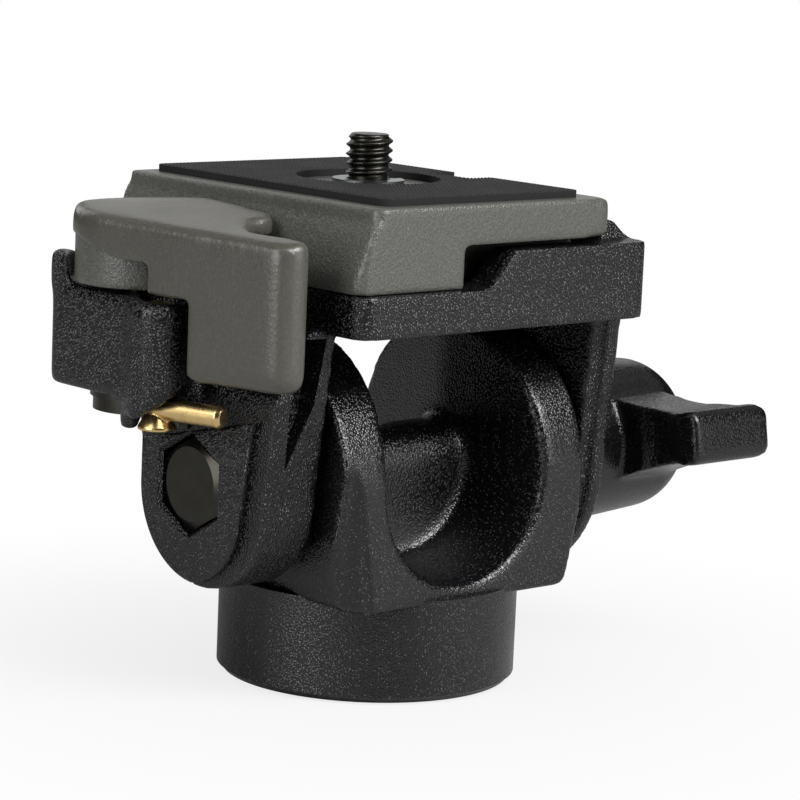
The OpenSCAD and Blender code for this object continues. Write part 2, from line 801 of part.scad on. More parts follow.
module camera_screw() {
    color(BLACK_STEEL) difference() {
        union() {
            disc(plate_x, plate_y, screw_head_z, screw_head_top, screw_head_r);
            disc(plate_x, plate_y, screw_head_z, plate_z, shoulder_r);
            // Groove for the retaining ring, then the threaded end
            disc(plate_x, plate_y, screw_head_z, plate_z + groove_h + fuse, groove_r);
            disc(plate_x, plate_y, plate_z + groove_h, screw_z - 0.6, screw_r);
            translate([plate_x, plate_y, screw_z - 0.6]) cylinder(r1 = screw_r, r2 = screw_r - 0.6, h = 0.6);
        }
        block(plate_x - far, plate_x + far, plate_y - 0.8, plate_y + 0.8, 0, screw_head_z + 1.2);
    }
}

// Finger ring folded flat under the screw's head
module screw_d_ring() {
    wire = 0.8;
    ring = screw_head_r - 0.6;
    flat = ring - 2.4;
    color(STEEL) translate([plate_x, plate_y, screw_head_z - 1.2]) {
        difference() {
            rotate_extrude() translate([ring, 0]) circle(wire);
            block(-far, far, flat, far, -far, far);
        }
        half = sqrt(ring * ring - flat * flat);
        translate([-half, flat, 0]) rotate([0, 90, 0]) cylinder(r = wire, h = 2 * half);
        for (x = [-half, half]) translate([x, flat, 0]) sphere(wire);
        block(-1.2, 1.2, -ring, -ring + 1.4, -wire / 2, 1.2 - slip);
    }
}

module screw_retaining_ring() {
    color(STEEL) snap_ring(plate_x, plate_y, plate_z + slip, plate_z + groove_h - 0.05, screw_r + 1.7, groove_r + slip, 2.4);
}

yoke();
base_thread_bush();
friction_washer_left();
friction_washer_right();
tilt_platform();
pivot_bolt();
knob_washer();
knob_thrust_washer();
wing_knob();
knob_insert();
lock_lever();
lever_pivot_screw();
lever_pivot_washer();
lever_spring();
safety_catch();
catch_spring();
catch_retaining_ring();
catch_stop_pin();
release_plunger();
plunger_spring();
plunger_retainer();
quick_release_plate();
plate_pad();
camera_screw();
screw_d_ring();
screw_retaining_ring();
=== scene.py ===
"""Looks of a monopod tilt head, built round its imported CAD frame.

Each sub-assembly is a class: its fields are sizes in millimetres, and its methods model the pieces
with mesh operators and dress them. Objects are in metres, in the CAD's own frame: +Z is up, the
tilt axis runs along X with the wing knob at +X, and the front is towards -Y.
"""
import logging
import math
from abc import ABC, abstractmethod
from dataclasses import dataclass
from enum import Enum
from functools import cached_property
from typing import Callable, Sequence

import bpy
from mathutils import Matrix, Vector


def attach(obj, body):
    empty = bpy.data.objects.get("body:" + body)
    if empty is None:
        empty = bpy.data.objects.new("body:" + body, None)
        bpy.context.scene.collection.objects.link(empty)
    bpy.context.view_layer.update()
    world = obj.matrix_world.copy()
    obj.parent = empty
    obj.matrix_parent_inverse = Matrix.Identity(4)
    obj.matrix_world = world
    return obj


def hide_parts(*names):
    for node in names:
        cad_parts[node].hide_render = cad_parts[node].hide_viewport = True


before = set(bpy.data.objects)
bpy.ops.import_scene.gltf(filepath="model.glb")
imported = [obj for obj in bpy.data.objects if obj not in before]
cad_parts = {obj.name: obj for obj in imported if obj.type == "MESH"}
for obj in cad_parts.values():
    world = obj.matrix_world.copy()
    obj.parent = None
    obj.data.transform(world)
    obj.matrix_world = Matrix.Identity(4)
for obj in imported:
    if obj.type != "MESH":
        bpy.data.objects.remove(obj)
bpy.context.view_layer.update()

LOG = logging.getLogger("tilt_head")
MM = 0.001

Object = bpy.types.Object
Node = bpy.types.Node
Socket = bpy.types.NodeSocket
Point2 = tuple[float, float]
Point3 = tuple[float, float, float]
Colour = tuple[float, float, float, float]
Skin = tuple[float, int]
Bore = tuple[Point2, float, float, float]

# Middles that sub-assemblies share, mm, and the catch arm's heading at rest, degrees
AXIS_Z = 28.7
FOOT: Point2 = (0.0, 0.0)
LEVER_PIVOT: Point2 = (-32.6, 10.2)
CATCH_PIVOT: Point2 = (-37.6, 0.0)
CATCH_HEADING = -74
PLATE_MID: Point2 = (-1.7, 1.5)

# Stations for tools that reach right through, mm: beyond the fork and the platform to either
# side, below the deck, above the deck and above the camera screw
SIDE, REACH = 30.0, 40.0
UNDER, CROWN, OVER = 40.0, 60.0, 80.0
# Overlap of tools that would otherwise only touch, mm, and the strength of a smoothing round
HAIR = 0.01
SMOOTHING = 0.5


class Axis(Enum):
    """Direction that an outline is drawn out along."""

    X = 0
    Y = 1
    Z = 2

    def place(self, u: float, v: float, w: float) -> Vector:
        """Point in metres from two outline coordinates and a station on the axis.

        Args:
            u: First outline coordinate, mm.
            v: Second outline coordinate, mm.
            w: Station along the axis, mm.

        Returns:
            The point in the CAD's frame.
        """
        order = {Axis.X: (w, u, v), Axis.Y: (u, w, v), Axis.Z: (u, v, w)}
        return Vector(order[self]) * MM


class Join(Enum):
    """How a tool shape changes the piece it is used on."""

    ADD = "UNION"
    CUT = "DIFFERENCE"
    KEEP = "INTERSECT"


class Body(Enum):
    """CAD bodies that the pieces ride on."""

    BASE = "base"
    PLATFORM = "platform"
    KNOB = "knob"
    LEVER = "lever"
    CATCH = "catch"
    SCREW = "screw"


def arc(mid: Point2, radius: float, start: float, end: float, steps: int = 48) -> list[Point2]:
    """Points on an arc.

    Args:
        mid: Middle of the arc, mm.
        radius: Its radius, mm.
        start: First angle, degrees.
        end: Last angle, degrees.
        steps: Number of chords.

    Returns:
        The points in order, ends included.
    """
    turn = math.radians(end - start)
    first = math.radians(start)
    angles = [first + turn * i / steps for i in range(steps + 1)]
    return [(mid[0] + radius * math.cos(a), mid[1] + radius * math.sin(a)) for a in angles]


def round_rect(low: Point2, high: Point2, radius: float) -> list[Point2]:
    """Rectangle with round corners.

    Args:
        low: Lowest corner, mm.
        high: Highest corner, mm.
        radius: Radius of the corners, mm.

    Returns:
        The outline, counter-clockwise.
    """
    left, right = low[0] + radius, high[0] - radius
    front, back = low[1] + radius, high[1] - radius
    mids = ((right, front), (right, back), (left, back), (left, front))
    return [p for i, mid in enumerate(mids) for p in arc(mid, radius, 90 * i - 90, 90 * i, 8)]


def hexagon(mid: Point2, flats: float) -> list[Point2]:
    """Hexagon with a corner at the top, from its width across flats in mm."""
    return arc(mid, flats / 2 / math.cos(math.pi / 6), 90, 390, 5)


class Bench:
    """Modelling bench: each method is one job done with Blender's own operators."""

    @staticmethod
    def focus(piece: Object) -> None:
        """Select one piece and make it active."""
        bpy.ops.object.select_all(action="DESELECT")
        piece.select_set(True)
        bpy.context.view_layer.objects.active = piece

    @classmethod
    def settle(cls, piece: Object) -> Object:
        """Put the object's place into its mesh, so that it sits at the origin."""
        cls.focus(piece)
        bpy.ops.object.transform_apply(location=True, rotation=True, scale=True)
        return piece

    @staticmethod
    def edit(action: str) -> None:
        """Edit the active piece's mesh, with all of it selected or none."""
        bpy.ops.object.mode_set(mode="EDIT")
        bpy.ops.mesh.select_all(action=action)

    @classmethod
    def close(cls) -> None:
        """Turn the edited mesh's normals outward and leave it."""
        cls.edit("SELECT")
        bpy.ops.mesh.normals_make_consistent(inside=False)
        bpy.ops.object.mode_set(mode="OBJECT")

    @classmethod
    def modify(cls, piece: Object, kind: str, **settings: object) -> Object:
        """Apply a modifier.

        Args:
            piece: Piece that is changed.
            kind: Type of the modifier.
            settings: Its properties.

        Returns:
            The changed piece.
        """
        change = piece.modifiers.new(kind.title(), kind)
        for name, value in settings.items():
            setattr(change, name, value)
        cls.focus(piece)
        bpy.ops.object.modifier_apply(modifier=change.name)
        return piece

    @classmethod
    def block(cls, low: Point3, high: Point3) -> Object:
        """Box between two corners.

        Args:
            low: Lowest corner, mm.
            high: Highest corner, mm.

        Returns:
            The new object.
        """
        a, b = Vector(low) * MM, Vector(high) * MM
        bpy.ops.object.select_all(action="DESELECT")
        bpy.ops.mesh.primitive_cube_add(size=1, location=(a + b) / 2, scale=b - a)
        return cls.settle(bpy.context.object)

    @classmethod
    def rod(cls, axis: Axis, mid: Point2, start: float, end: float, radius: float,
            tip: float | None = None, sides: int = 96) -> Object:
        """Round bar or cone along an axis.

        Args:
            axis: Direction of the bar.
            mid: Its middle in the axis's outline coordinates, mm.
            start: Station of its first end, mm.
            end: Station of its last end, mm.
            radius: Radius at the first end, mm.
            tip: Radius at the last end, mm, where it differs.
            sides: Number of sides.

        Returns:
            The new object.
        """
        turn = {Axis.X: (0, math.pi / 2, 0), Axis.Y: (-math.pi / 2, 0, 0), Axis.Z: (0, 0, 0)}
        last = radius if tip is None else tip
        bpy.ops.object.select_all(action="DESELECT")
        bpy.ops.mesh.primitive_cone_add(
            vertices=sides, radius1=radius * MM, radius2=last * MM, depth=(end - start) * MM,
            location=axis.place(mid[0], mid[1], (start + end) / 2), rotation=turn[axis])
        return cls.settle(bpy.context.object)

    @classmethod
    def ball(cls, mid: Point3, radius: float, squash: float) -> Object:
        """Sphere with its poles on the X axis, squashed along it."""
        bpy.ops.object.select_all(action="DESELECT")
        bpy.ops.mesh.primitive_uv_sphere_add(
            segments=96, ring_count=48, radius=radius * MM, scale=(1, 1, squash),
            location=Vector(mid) * MM, rotation=(0, math.pi / 2, 0))
        return cls.settle(bpy.context.object)

    @staticmethod
    def ring(points: Sequence[Vector], fill: str) -> Object:
        """Closed outline through points in metres, filled or open.

        Args:
            points: Its corners in order, metres.
            fill: How the circle operator fills it.

        Returns:
            The new object.
        """
        bpy.ops.object.select_all(action="DESELECT")
        bpy.ops.mesh.primitive_circle_add(vertices=len(points), fill_type=fill)
        piece = bpy.context.object
        for vertex, point in zip(piece.data.vertices, points):
            vertex.co = point
        return piece

    @classmethod
    def prism(cls, outline: Sequence[Point2], axis: Axis, start: float, end: float,
              grow: float = 1.0, about: Point2 = (0.0, 0.0)) -> Object:
        """Outline drawn out along an axis.

        Args:
            outline: Corners of the outline in order, mm.
            axis: Direction it is drawn out along.
            start: Station of the first face, mm.
            end: Station of the last face, mm.
            grow: Size of the last face over the first one's.
            about: Point that the last face grows about, mm.

        Returns:
            The new closed solid.
        """
        piece = cls.ring([axis.place(u, v, start) for u, v in outline], "NGON")
        cls.edit("SELECT")
        bpy.ops.mesh.extrude_region_move(
            TRANSFORM_OT_translate={"value": axis.place(0, 0, end - start)})
        if grow != 1.0:
            factor = [1.0 if along is axis else grow for along in Axis]
            bpy.ops.transform.resize(value=factor, center_override=axis.place(*about, end))
        cls.close()
        return piece

    @classmethod
    def combine(cls, piece: Object, how: Join, *tools: Object) -> Object:
        """Use tool shapes on a piece, one after another, and remove them.

        Args:
            piece: Solid that is changed.
            how: Whether the tools are added, cut away or kept in common.
            tools: Closed solids.

        Returns:
            The changed piece.
        """
        for tool in tools:
            cls.modify(piece, "BOOLEAN", operation=how.value, solver="MANIFOLD", object=tool)
            bpy.data.objects.remove(tool)
        return piece

    @classmethod
    def add(cls, piece: Object, *tools: Object) -> Object:
        """Fuse tools to a piece."""
        return cls.combine(piece, Join.ADD, *tools)

    @classmethod
    def cut(cls, piece: Object, *tools: Object) -> Object:
        """Cut tools away from a piece."""
        return cls.combine(piece, Join.CUT, *tools)

    @classmethod
    def keep(cls, piece: Object, *tools: Object) -> Object:
        """Keep what a piece has in common with its tools."""
        return cls.combine(piece, Join.KEEP, *tools)

    @classmethod
    def slice(cls, piece: Object, point: Vector, outward: Vector) -> None:
        """Slice off what lies beyond a plane and close the cut.

        Args:
            piece: Solid that is sliced.
            point: Point on the plane, metres.
            outward: Direction of the side that goes.
        """
        cls.focus(piece)
        cls.edit("SELECT")
        bpy.ops.mesh.bisect(plane_co=point, plane_no=outward, use_fill=True, clear_outer=True)
        bpy.ops.object.mode_set(mode="OBJECT")

    @classmethod
    def round_edges(cls, piece: Object, chosen: Callable[[Vector, Vector], bool], width: float,
                    segments: int) -> Object:
        """Bevel the edges that a test picks.

        Args:
            piece: Solid that is bevelled.
            chosen: Test on an edge's two ends, in mm.
            width: Width of the bevel, mm.
            segments: Number of its facets.

        Returns:
            The bevelled piece.
        """
        cls.focus(piece)
        cls.edit("DESELECT")
        bpy.ops.mesh.select_mode(type="EDGE")
        bpy.ops.object.mode_set(mode="OBJECT")
        points = [v.co / MM for v in piece.data.vertices]
        for edge in piece.data.edges:
            edge.select = chosen(points[edge.vertices[0]], points[edge.vertices[1]])
        bpy.ops.object.mode_set(mode="EDIT")
        bpy.ops.mesh.bevel(offset=width * MM, segments=segments, affect="EDGES")
        bpy.ops.mesh.select_mode(type="VERT")
        bpy.ops.object.mode_set(mode="OBJECT")
        return piece

    @classmethod
    def cast(cls, piece: Object, voxel: float, rounds: int) -> Object:
        """Give a solid the flowing skin of a casting or moulding.

        Args:
            piece: Sharp-edged solid.
            voxel: Grid of the new skin, mm.
            rounds: Rounds of smoothing: more of them give wider fillets.

        Returns:
            The piece with soft edges and fillets.
        """
        cls.modify(piece, "REMESH", mode="VOXEL", voxel_size=voxel * MM)
        return cls.modify(piece, "SMOOTH", factor=SMOOTHING, iterations=rounds)

    @classmethod
    def flow(cls, piece: Object, chosen: Callable[[Vector], float], rounds: int) -> None:
        """Smooth only a part of a skin further.

        Args:
            piece: Casting with a fine skin.
            chosen: Weight of a point in mm: nothing moves at 0 or less.
            rounds: Rounds of smoothing.
        """
        group = piece.vertex_groups.new(name="Flow")
        for vertex in piece.data.vertices:
            weight = chosen(vertex.co / MM)
            if weight > 0:
                group.add([vertex.index], min(1.0, weight), "REPLACE")
        cls.modify(piece, "SMOOTH", factor=SMOOTHING, iterations=rounds, vertex_group=group.name)
        piece.vertex_groups.clear()

    @classmethod
    def turn(cls, piece: Object, axis: Axis, degrees: float, mid: Point3) -> Object:
        """Turn a piece about an axis through a point, in its mesh.

        Args:
            piece: Piece that is turned.
            axis: Direction of the turn's axis.
            degrees: Angle of the turn.
            mid: Point on the axis, mm.

        Returns:
            The turned piece.
        """
        place = Matrix.Translation(Vector(mid) * MM)
        spin = Matrix.Rotation(math.radians(degrees), 4, axis.name)
        piece.matrix_world = place @ spin @ place.inverted() @ piece.matrix_world
        return cls.settle(piece)

    @classmethod
    def shade(cls, piece: Object, angle: float = 35) -> Object:
        """Shade a piece smoothly, apart from edges sharper than an angle."""
        cls.focus(piece)
        bpy.ops.object.shade_smooth_by_angle(angle=math.radians(angle))
        return piece


def linear(code: str) -> Colour:
    """Linear colour of an sRGB hex code.

    Args:
        code: Colour such as "#2b2b2e".

    Returns:
        Red, green, blue and alpha.
    """
    parts = [int(code[i:i + 2], 16) / 255 for i in (1, 3, 5)]
    flat = [c / 12.92 if c <= 0.04045 else ((c + 0.055) / 1.055) ** 2.4 for c in parts]
    return (flat[0], flat[1], flat[2], 1.0)


def per_metre(size: float) -> float:
    """Texture scale whose features are a size in mm, on coordinates in metres."""
    return 1 / (size * MM)


class Nodes:
    """Node tree of a material or world, with the nodes that the finishes share."""

    def __init__(self, owner: bpy.types.Material | bpy.types.World) -> None:
        """Switch the owner's nodes on."""
        owner.use_nodes = True
        self.tree = owner.node_tree

    def feed(self, node: Node, sockets: dict) -> None:
        """Set a node's inputs.

        Args:
            node: Node that is fed.
            sockets: Value or linked output for each input, by name or number.
        """
        for key, value in sockets.items():
            if isinstance(value, Socket):
                self.tree.links.new(value, node.inputs[key])
            else:
                node.inputs[key].default_value = value

    def add(self, kind: str, sockets: dict | None = None,
            **settings: object) -> bpy.types.bpy_prop_collection:
        """Add a node.

        Args:
            kind: Type of the node.
            sockets: Value or linked output for each input, by name or number.
            settings: Properties of the node.

        Returns:
            Its outputs.
        """
        node = self.tree.nodes.new(kind)
        for name, value in settings.items():
            setattr(node, name, value)
        self.feed(node, sockets or {})
        return node.outputs

    @cached_property
    def where(self) -> Socket:
        """Object coordinates, metres."""
        return self.add("ShaderNodeTexCoord")["Object"]

    def noise(self, size: float, detail: float, rough: float = 0.5) -> Socket:
        """Add noise whose features are a size in mm."""
        return self.add("ShaderNodeTexNoise", {
            "Vector": self.where, "Scale": per_metre(size), "Detail": detail,
            "Roughness": rough})["Fac"]

    def span(self, value: Socket, source: Point2, target: Point2 = (0.0, 1.0),
             **settings: object) -> Socket:
        """Map a range of a value to another range.

        Args:
            value: Value that is mapped.
            source: Its own range.
            target: Range that it gets.
            settings: Properties of the node.

        Returns:
            The mapped value.
        """
        return self.add("ShaderNodeMapRange", {
            "Value": value, "From Min": source[0], "From Max": source[1],
            "To Min": target[0], "To Max": target[1]}, **settings)[0]

    def blend(self, share: Socket, first: Colour | Socket, second: Colour | Socket) -> Socket:
        """Mix two colours."""
        return self.add("ShaderNodeMix", {0: share, 6: first, 7: second}, data_type="RGBA")[2]

    def sum(self, operation: str, *values: Socket | float) -> Socket:
        """Work one sum on values."""
        return self.add("ShaderNodeMath", dict(enumerate(values)), operation=operation)[0]

    def bump(self, height: Socket, strength: float, depth: float) -> Socket:
        """Turn a height into a relief that is a depth in mm."""
        return self.add("ShaderNodeBump", {
            "Strength": strength, "Distance": depth * MM, "Height": height})[0]


@dataclass(frozen=True)
class Finish(ABC):
    """A surface: what it is made of and how it was finished."""

    name: str
    colour: str

    # Range of the noise that makes slow patches
    CLOUD = (0.3, 0.7)

    def make(self) -> bpy.types.Material:
        """Make the material."""
        material = bpy.data.materials.new(self.name)
        nodes = Nodes(material)
        nodes.feed(nodes.tree.nodes["Principled BSDF"], self.paint(nodes))
        return material

    @abstractmethod
    def paint(self, nodes: Nodes) -> dict:
        """Add the nodes of this finish.

        Args:
            nodes: Node tree of the material.

        Returns:
            Value or linked output for each of the shader's inputs.
        """


@dataclass(frozen=True)
class GrainedCoat(Finish):
    """Paint or powder coat with a grain: small beads that catch the light one by one."""

    # Lighter colour on the grain's tops: painted sparkle
    light: str
    grain: float
    relief: float
    gloss: Point2
    sheen: float
    glint: str
    glint_gap: float

    # Ranges: grain noise whose tops get painted sparkle, cells that get a flake, and reach of bead
    # and flake
    TOPS, PICKED = (0.45, 0.72), (0.45, 1.0)
    BEAD, FLAKE, FALLING = (0.1, 0.7), (0.08, 0.3), (1.0, 0.0)
    # Share of the fine grain in the relief, and size of the patches in mm
    FINE_SHARE, CLOUD_SIZE = 0.4, 9.0

    def paint(self, nodes: Nodes) -> dict:
        """Add the coat's beads, the sparse flakes that glint and the patchy gloss."""
        fine = nodes.noise(self.grain, 2.0, 0.6)
        # Painted sparkle: the grain's tops are painted lighter, the same under any light
        coat = nodes.blend(nodes.span(fine, self.TOPS), linear(self.colour), linear(self.light))
        cells = nodes.add("ShaderNodeTexVoronoi", {
            "Vector": nodes.where, "Scale": per_metre(self.glint_gap), "Randomness": 1.0})
        bead = nodes.span(cells["Distance"], self.BEAD, self.FALLING,
                          interpolation_type="SMOOTHSTEP")
        flake = nodes.span(cells["Distance"], self.FLAKE, self.FALLING)
        chance = nodes.add("ShaderNodeSeparateColor", {0: cells["Color"]})[0]
        bright = nodes.sum("MULTIPLY", flake, nodes.span(chance, self.PICKED))
        height = nodes.sum("MULTIPLY_ADD", fine, self.FINE_SHARE, bead)
        return {"Base Color": nodes.blend(bright, coat, linear(self.glint)),
                "Metallic": bright,
                "Roughness": nodes.span(nodes.noise(self.CLOUD_SIZE, 3.0), self.CLOUD, self.gloss),
                "Specular IOR Level": self.sheen,
                "Normal": nodes.bump(height, 1.0, self.relief)}


@dataclass(frozen=True)
class TurnedMetal(Finish):
    """Bare or plated metal with the faint marks that a lathe or a die leaves."""

    dark: str
    rough: float

    # Tool marks and patches, sizes in mm
    MARK_SIZE, MARK_DEPTH, MARK_STRENGTH = 0.25, 0.02, 0.25
    CLOUD_SIZE = 3.0

    def paint(self, nodes: Nodes) -> dict:
        """Add the tool marks and the uneven tarnish."""
        cloud = nodes.noise(self.CLOUD_SIZE, 4.0, 0.6)
        marks = nodes.noise(self.MARK_SIZE, 3.0)
        return {"Base Color": nodes.blend(cloud, linear(self.dark), linear(self.colour)),
                "Metallic": 1.0,
                "Roughness": nodes.span(cloud, self.CLOUD, (self.rough * 0.8, self.rough * 1.25)),
                "Normal": nodes.bump(marks, self.MARK_STRENGTH, self.MARK_DEPTH)}


@dataclass(frozen=True)
class Moulded(Finish):
    """Moulded rubber, nylon or fibre with a fine matt skin."""

    light: str
    grain: float
    rough: float

    # Grain and patches, sizes in mm
    GRAIN_DEPTH, GRAIN_STRENGTH = 0.05, 0.6
    PATCHES, SHEEN, CLOUD_SIZE = 0.06, 0.25, 6.0

    def paint(self, nodes: Nodes) -> dict:
        """Add the skin's grain and its slight patchiness."""
        cloud = nodes.noise(self.CLOUD_SIZE, 3.0)
        grain = nodes.noise(self.grain, 2.0)
        span = (self.rough - self.PATCHES, self.rough + self.PATCHES)
        return {"Base Color": nodes.blend(cloud, linear(self.colour), linear(self.light)),
                "Roughness": nodes.span(cloud, self.CLOUD, span),
                "Specular IOR Level": self.SHEEN,
                "Normal": nodes.bump(grain, self.GRAIN_STRENGTH, self.GRAIN_DEPTH)}


class Finishes:
    """All finishes of the head, made once."""

    def __init__(self) -> None:
        """Make the materials."""
        # Die-cast aluminium under a black powder coat: fine beads, some of which glint
        self.black_coat = GrainedCoat(
            "black_powder_coat_on_casting", "#060607", light="#101012", grain=0.4, relief=0.042,
            gloss=(0.2, 0.26), sheen=0.5, glint="#8e8e92", glint_gap=0.32).make()
        # The same coat on the platform, where it is rougher and sparkles more
        self.rough_coat = GrainedCoat(
            "coarse_black_powder_coat_on_casting", "#050506", light="#0e0e10", grain=0.4,
            relief=0.085, gloss=(0.18, 0.24), sheen=0.42, glint="#a4a4a8", glint_gap=0.32).make()
        # Satin paint on the cast lever: nearly smooth, with a warm grey tone
        self.taupe_paint = GrainedCoat(
            "satin_warm_grey_paint_on_casting", "#42413c", light="#4b4a43", grain=0.4,
            relief=0.012, gloss=(0.28, 0.34), sheen=0.5, glint="#6a6961", glint_gap=0.5).make()
        # Grained grey paint on the cast plate and the lever's cam
        self.grey_paint = GrainedCoat(
            "grained_grey_paint_on_casting", "#454541", light="#585853", grain=0.36,
            relief=0.035, gloss=(0.3, 0.38), sheen=0.5, glint="#86867f", glint_gap=0.34).make()
        # Satin black nylon, moulded: an even, slightly silky skin with a fine speckle
        self.black_nylon = GrainedCoat(
            "moulded_black_nylon", "#070708", light="#101012", grain=0.36, relief=0.03,
            gloss=(0.22, 0.28), sheen=0.4, glint="#56565a", glint_gap=0.34).make()
        # Matt rubber: dark, no clear reflections
        self.rubber = Moulded(
            "moulded_black_rubber", "#161617", light="#1e1e1f", grain=0.2, rough=0.72).make()
        # Turned brass: pale gold, fairly bright
        self.brass = TurnedMetal("turned_brass", "#e2c690", dark="#b8985e", rough=0.27).make()
        # Zinc-plated steel: cool and bright
        self.steel = TurnedMetal("zinc_plated_steel", "#a9abad", dark="#85878a", rough=0.30).make()
        # Black-oxide steel: dark with an oily sheen
        self.black_steel = TurnedMetal(
            "black_oxide_steel", "#45443f", dark="#2a2926", rough=0.32).make()
        # Natural nylon and brake fibre
        self.nylon = Moulded(
            "natural_nylon", "#d9d4c6", light="#e6e2d6", grain=0.3, rough=0.45).make()
        self.fibre = Moulded(
            "pressed_brake_fibre", "#4a3a2a", light="#5e4b37", grain=0.4, rough=0.8).make()


def dress(piece: Object, name: str, finish: bpy.types.Material, body: Body, slot: str,
          *replaced: str) -> None:
    """Name a finished piece, give it its finish and tie it to the CAD.

    Args:
        piece: Finished mesh.
        name: Name of the piece.
        finish: Its material.
        body: CAD body that it rides on.
        slot: Material slot of the record; not used.
        replaced: CAD nodes that it stands for.
    """
    piece.name = name
    piece.data.name = name
    piece.data.materials.clear()
    piece.data.materials.append(finish)
    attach(piece, body.value)
    if replaced:
        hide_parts(*replaced)
    LOG.info("%s: %d faces, rides on %s", name, len(piece.data.polygons), body.value)


class SubAssembly(ABC):
    """A group of pieces that are modelled and dressed together."""

    @abstractmethod
    def build(self, finishes: Finishes) -> None:
        """Model and dress the pieces.

        Args:
            finishes: All materials.
        """


@dataclass(frozen=True)
class Yoke(SubAssembly):
    """Cast foot with a fork on it: two round-topped arms, a U-trough and a web across it."""

    foot_r: float = 20.5
    foot_h: float = 13.0
    foot_bevel: float = 0.8
    arm_r: float = 19.2
    arm_out: float = 21.3
    block_low: float = 19.0
    corner_r: float = 2.0
    taper_h: float = 10.0
    trough_r: float = 14.2
    trough_z: float = 15.1
    trough_reach: float = 24.0
    draft: float = 2.6
    web_half: float = 5.4
    web_foot: float = 5.0
    cove: tuple[Point2, float, float] = ((20.2, 19.6), 3.9, 40.0)
    cove_under: float = 3.0
    boss_r: float = 12.4
    boss_x: float = 21.9
    boss_lip: float = 0.3
    bore_r: float = 3.55
    bush_r: float = 7.52
    skin: Skin = (0.36, 14)
    web_rounds: int = 60
    rim_rounds: int = 30

    def trough(self) -> Object:
        """Model the room between the arms, which narrows from each face towards the web."""
        inner, overlap = self.trough_r - self.draft, 0.2
        middle = (0, self.trough_z + self.trough_r)
        outline = [(-inner, CROWN)] + arc(middle, inner, 180, 360, 72) + [(inner, CROWN)]
        grow = 1 + self.draft / inner * self.trough_reach / self.arm_r
        room = Bench.add(*(Bench.prism(outline, Axis.Y, -way * overlap, way * self.trough_reach,
                                       grow, middle) for way in (-1, 1)))
        web = arc((0, AXIS_Z), self.web_half, 0, 180)
        web += [(-self.web_half, self.web_foot), (self.web_half, self.web_foot)]
        return Bench.cut(room, Bench.prism(web, Axis.X, -SIDE, SIDE))

    def fork(self) -> Object:
        """Model the block with its arms, the coves on the bolt head's side and the trough."""
        side = [(-self.arm_r, self.foot_h), (self.arm_r, self.foot_h)]
        side += arc((0, AXIS_Z), self.arm_r, 0, 180, 64)
        fork = Bench.prism(side, Axis.X, -self.arm_out, self.arm_out)
        wide, knee, corner = self.arm_out + HAIR, self.foot_h + self.taper_h, self.corner_r
        across, low = self.block_low - 0.8 * corner, self.foot_h + corner - HAIR
        front = arc((across, low), corner, 270, 347, 8)
        front += [(wide, knee), (wide, CROWN), (-wide, CROWN), (-wide, knee)]
        front += arc((-across, low), corner, 193, 270, 8)
        Bench.keep(fork, Bench.prism(front, Axis.Y, -SIDE, SIDE))
        (x, y), radius, tip = self.cove
        low_r = radius * (tip - self.foot_h + self.cove_under) / (tip - self.foot_h)
        for way in (-1, 1):
            Bench.cut(fork, Bench.rod(Axis.Z, (-x, way * y), self.foot_h - self.cove_under, tip,
                                      low_r, 2 * HAIR))
        return Bench.cut(fork, self.trough())

    def near_web(self, p: Vector) -> float:
        """Weight of a point for the fillets round the web and between the arms' two drafts."""
        ridge_half, ridge_up, fillet, fillet_up, slack = 3.5, 6, 5, 8, 0.3
        if abs(p.y) < ridge_half and p.z > AXIS_Z + ridge_up and abs(p.x) < self.trough_r:
            return 1.0
        inside = abs(p.x) < self.trough_r - slack or p.z < AXIS_Z
        across = abs(p.y) < self.web_half + fillet and abs(p.x) < self.trough_r + slack
        return float(inside and across and self.trough_z - 1 < p.z < AXIS_Z + fillet_up)

    def near_rim(self, p: Vector) -> float:
        """Weight of a point for the round rim of the trough on the front and back faces."""
        depth, width = 3, 1.8
        drop = min(0.0, p.z - self.trough_z - self.trough_r)
        away = math.hypot(p.x, drop) - self.trough_r
        return float(abs(p.y) > self.arm_r - depth and away < width)

    def build(self, finishes: Finishes) -> None:
        """Model and dress the casting."""
        casting = Bench.cast(self.fork(), *self.skin)
        Bench.flow(casting, self.near_web, self.web_rounds)
        Bench.flow(casting, self.near_rim, self.rim_rounds)
        bevel, lip, middle = self.foot_bevel, self.boss_lip, (0, AXIS_Z)
        Bench.add(casting,
                  Bench.rod(Axis.Z, FOOT, bevel, self.foot_h + bevel, self.foot_r, sides=160),
                  Bench.rod(Axis.Z, FOOT, 0, bevel + 0.1, self.foot_r - bevel, self.foot_r, 160))
        boss = arc(middle, self.boss_r, 0, 356, 89)
        for way in (-1, 1):
            root, rim = way * (self.arm_out - 1.5), way * (self.boss_x - lip)
            Bench.add(casting, Bench.prism(boss, Axis.X, root, rim),
                      Bench.prism(boss, Axis.X, rim - way * HAIR, way * self.boss_x,
                                  1 - lip / self.boss_r, middle))
        Bench.cut(casting, Bench.rod(Axis.X, middle, -SIDE, SIDE, self.bore_r),
                  Bench.rod(Axis.Z, FOOT, -2, self.foot_h - 1, self.bush_r))
        dress(Bench.shade(casting), "yoke_casting", finishes.black_coat, Body.BASE, "black_coat",
              "yoke")


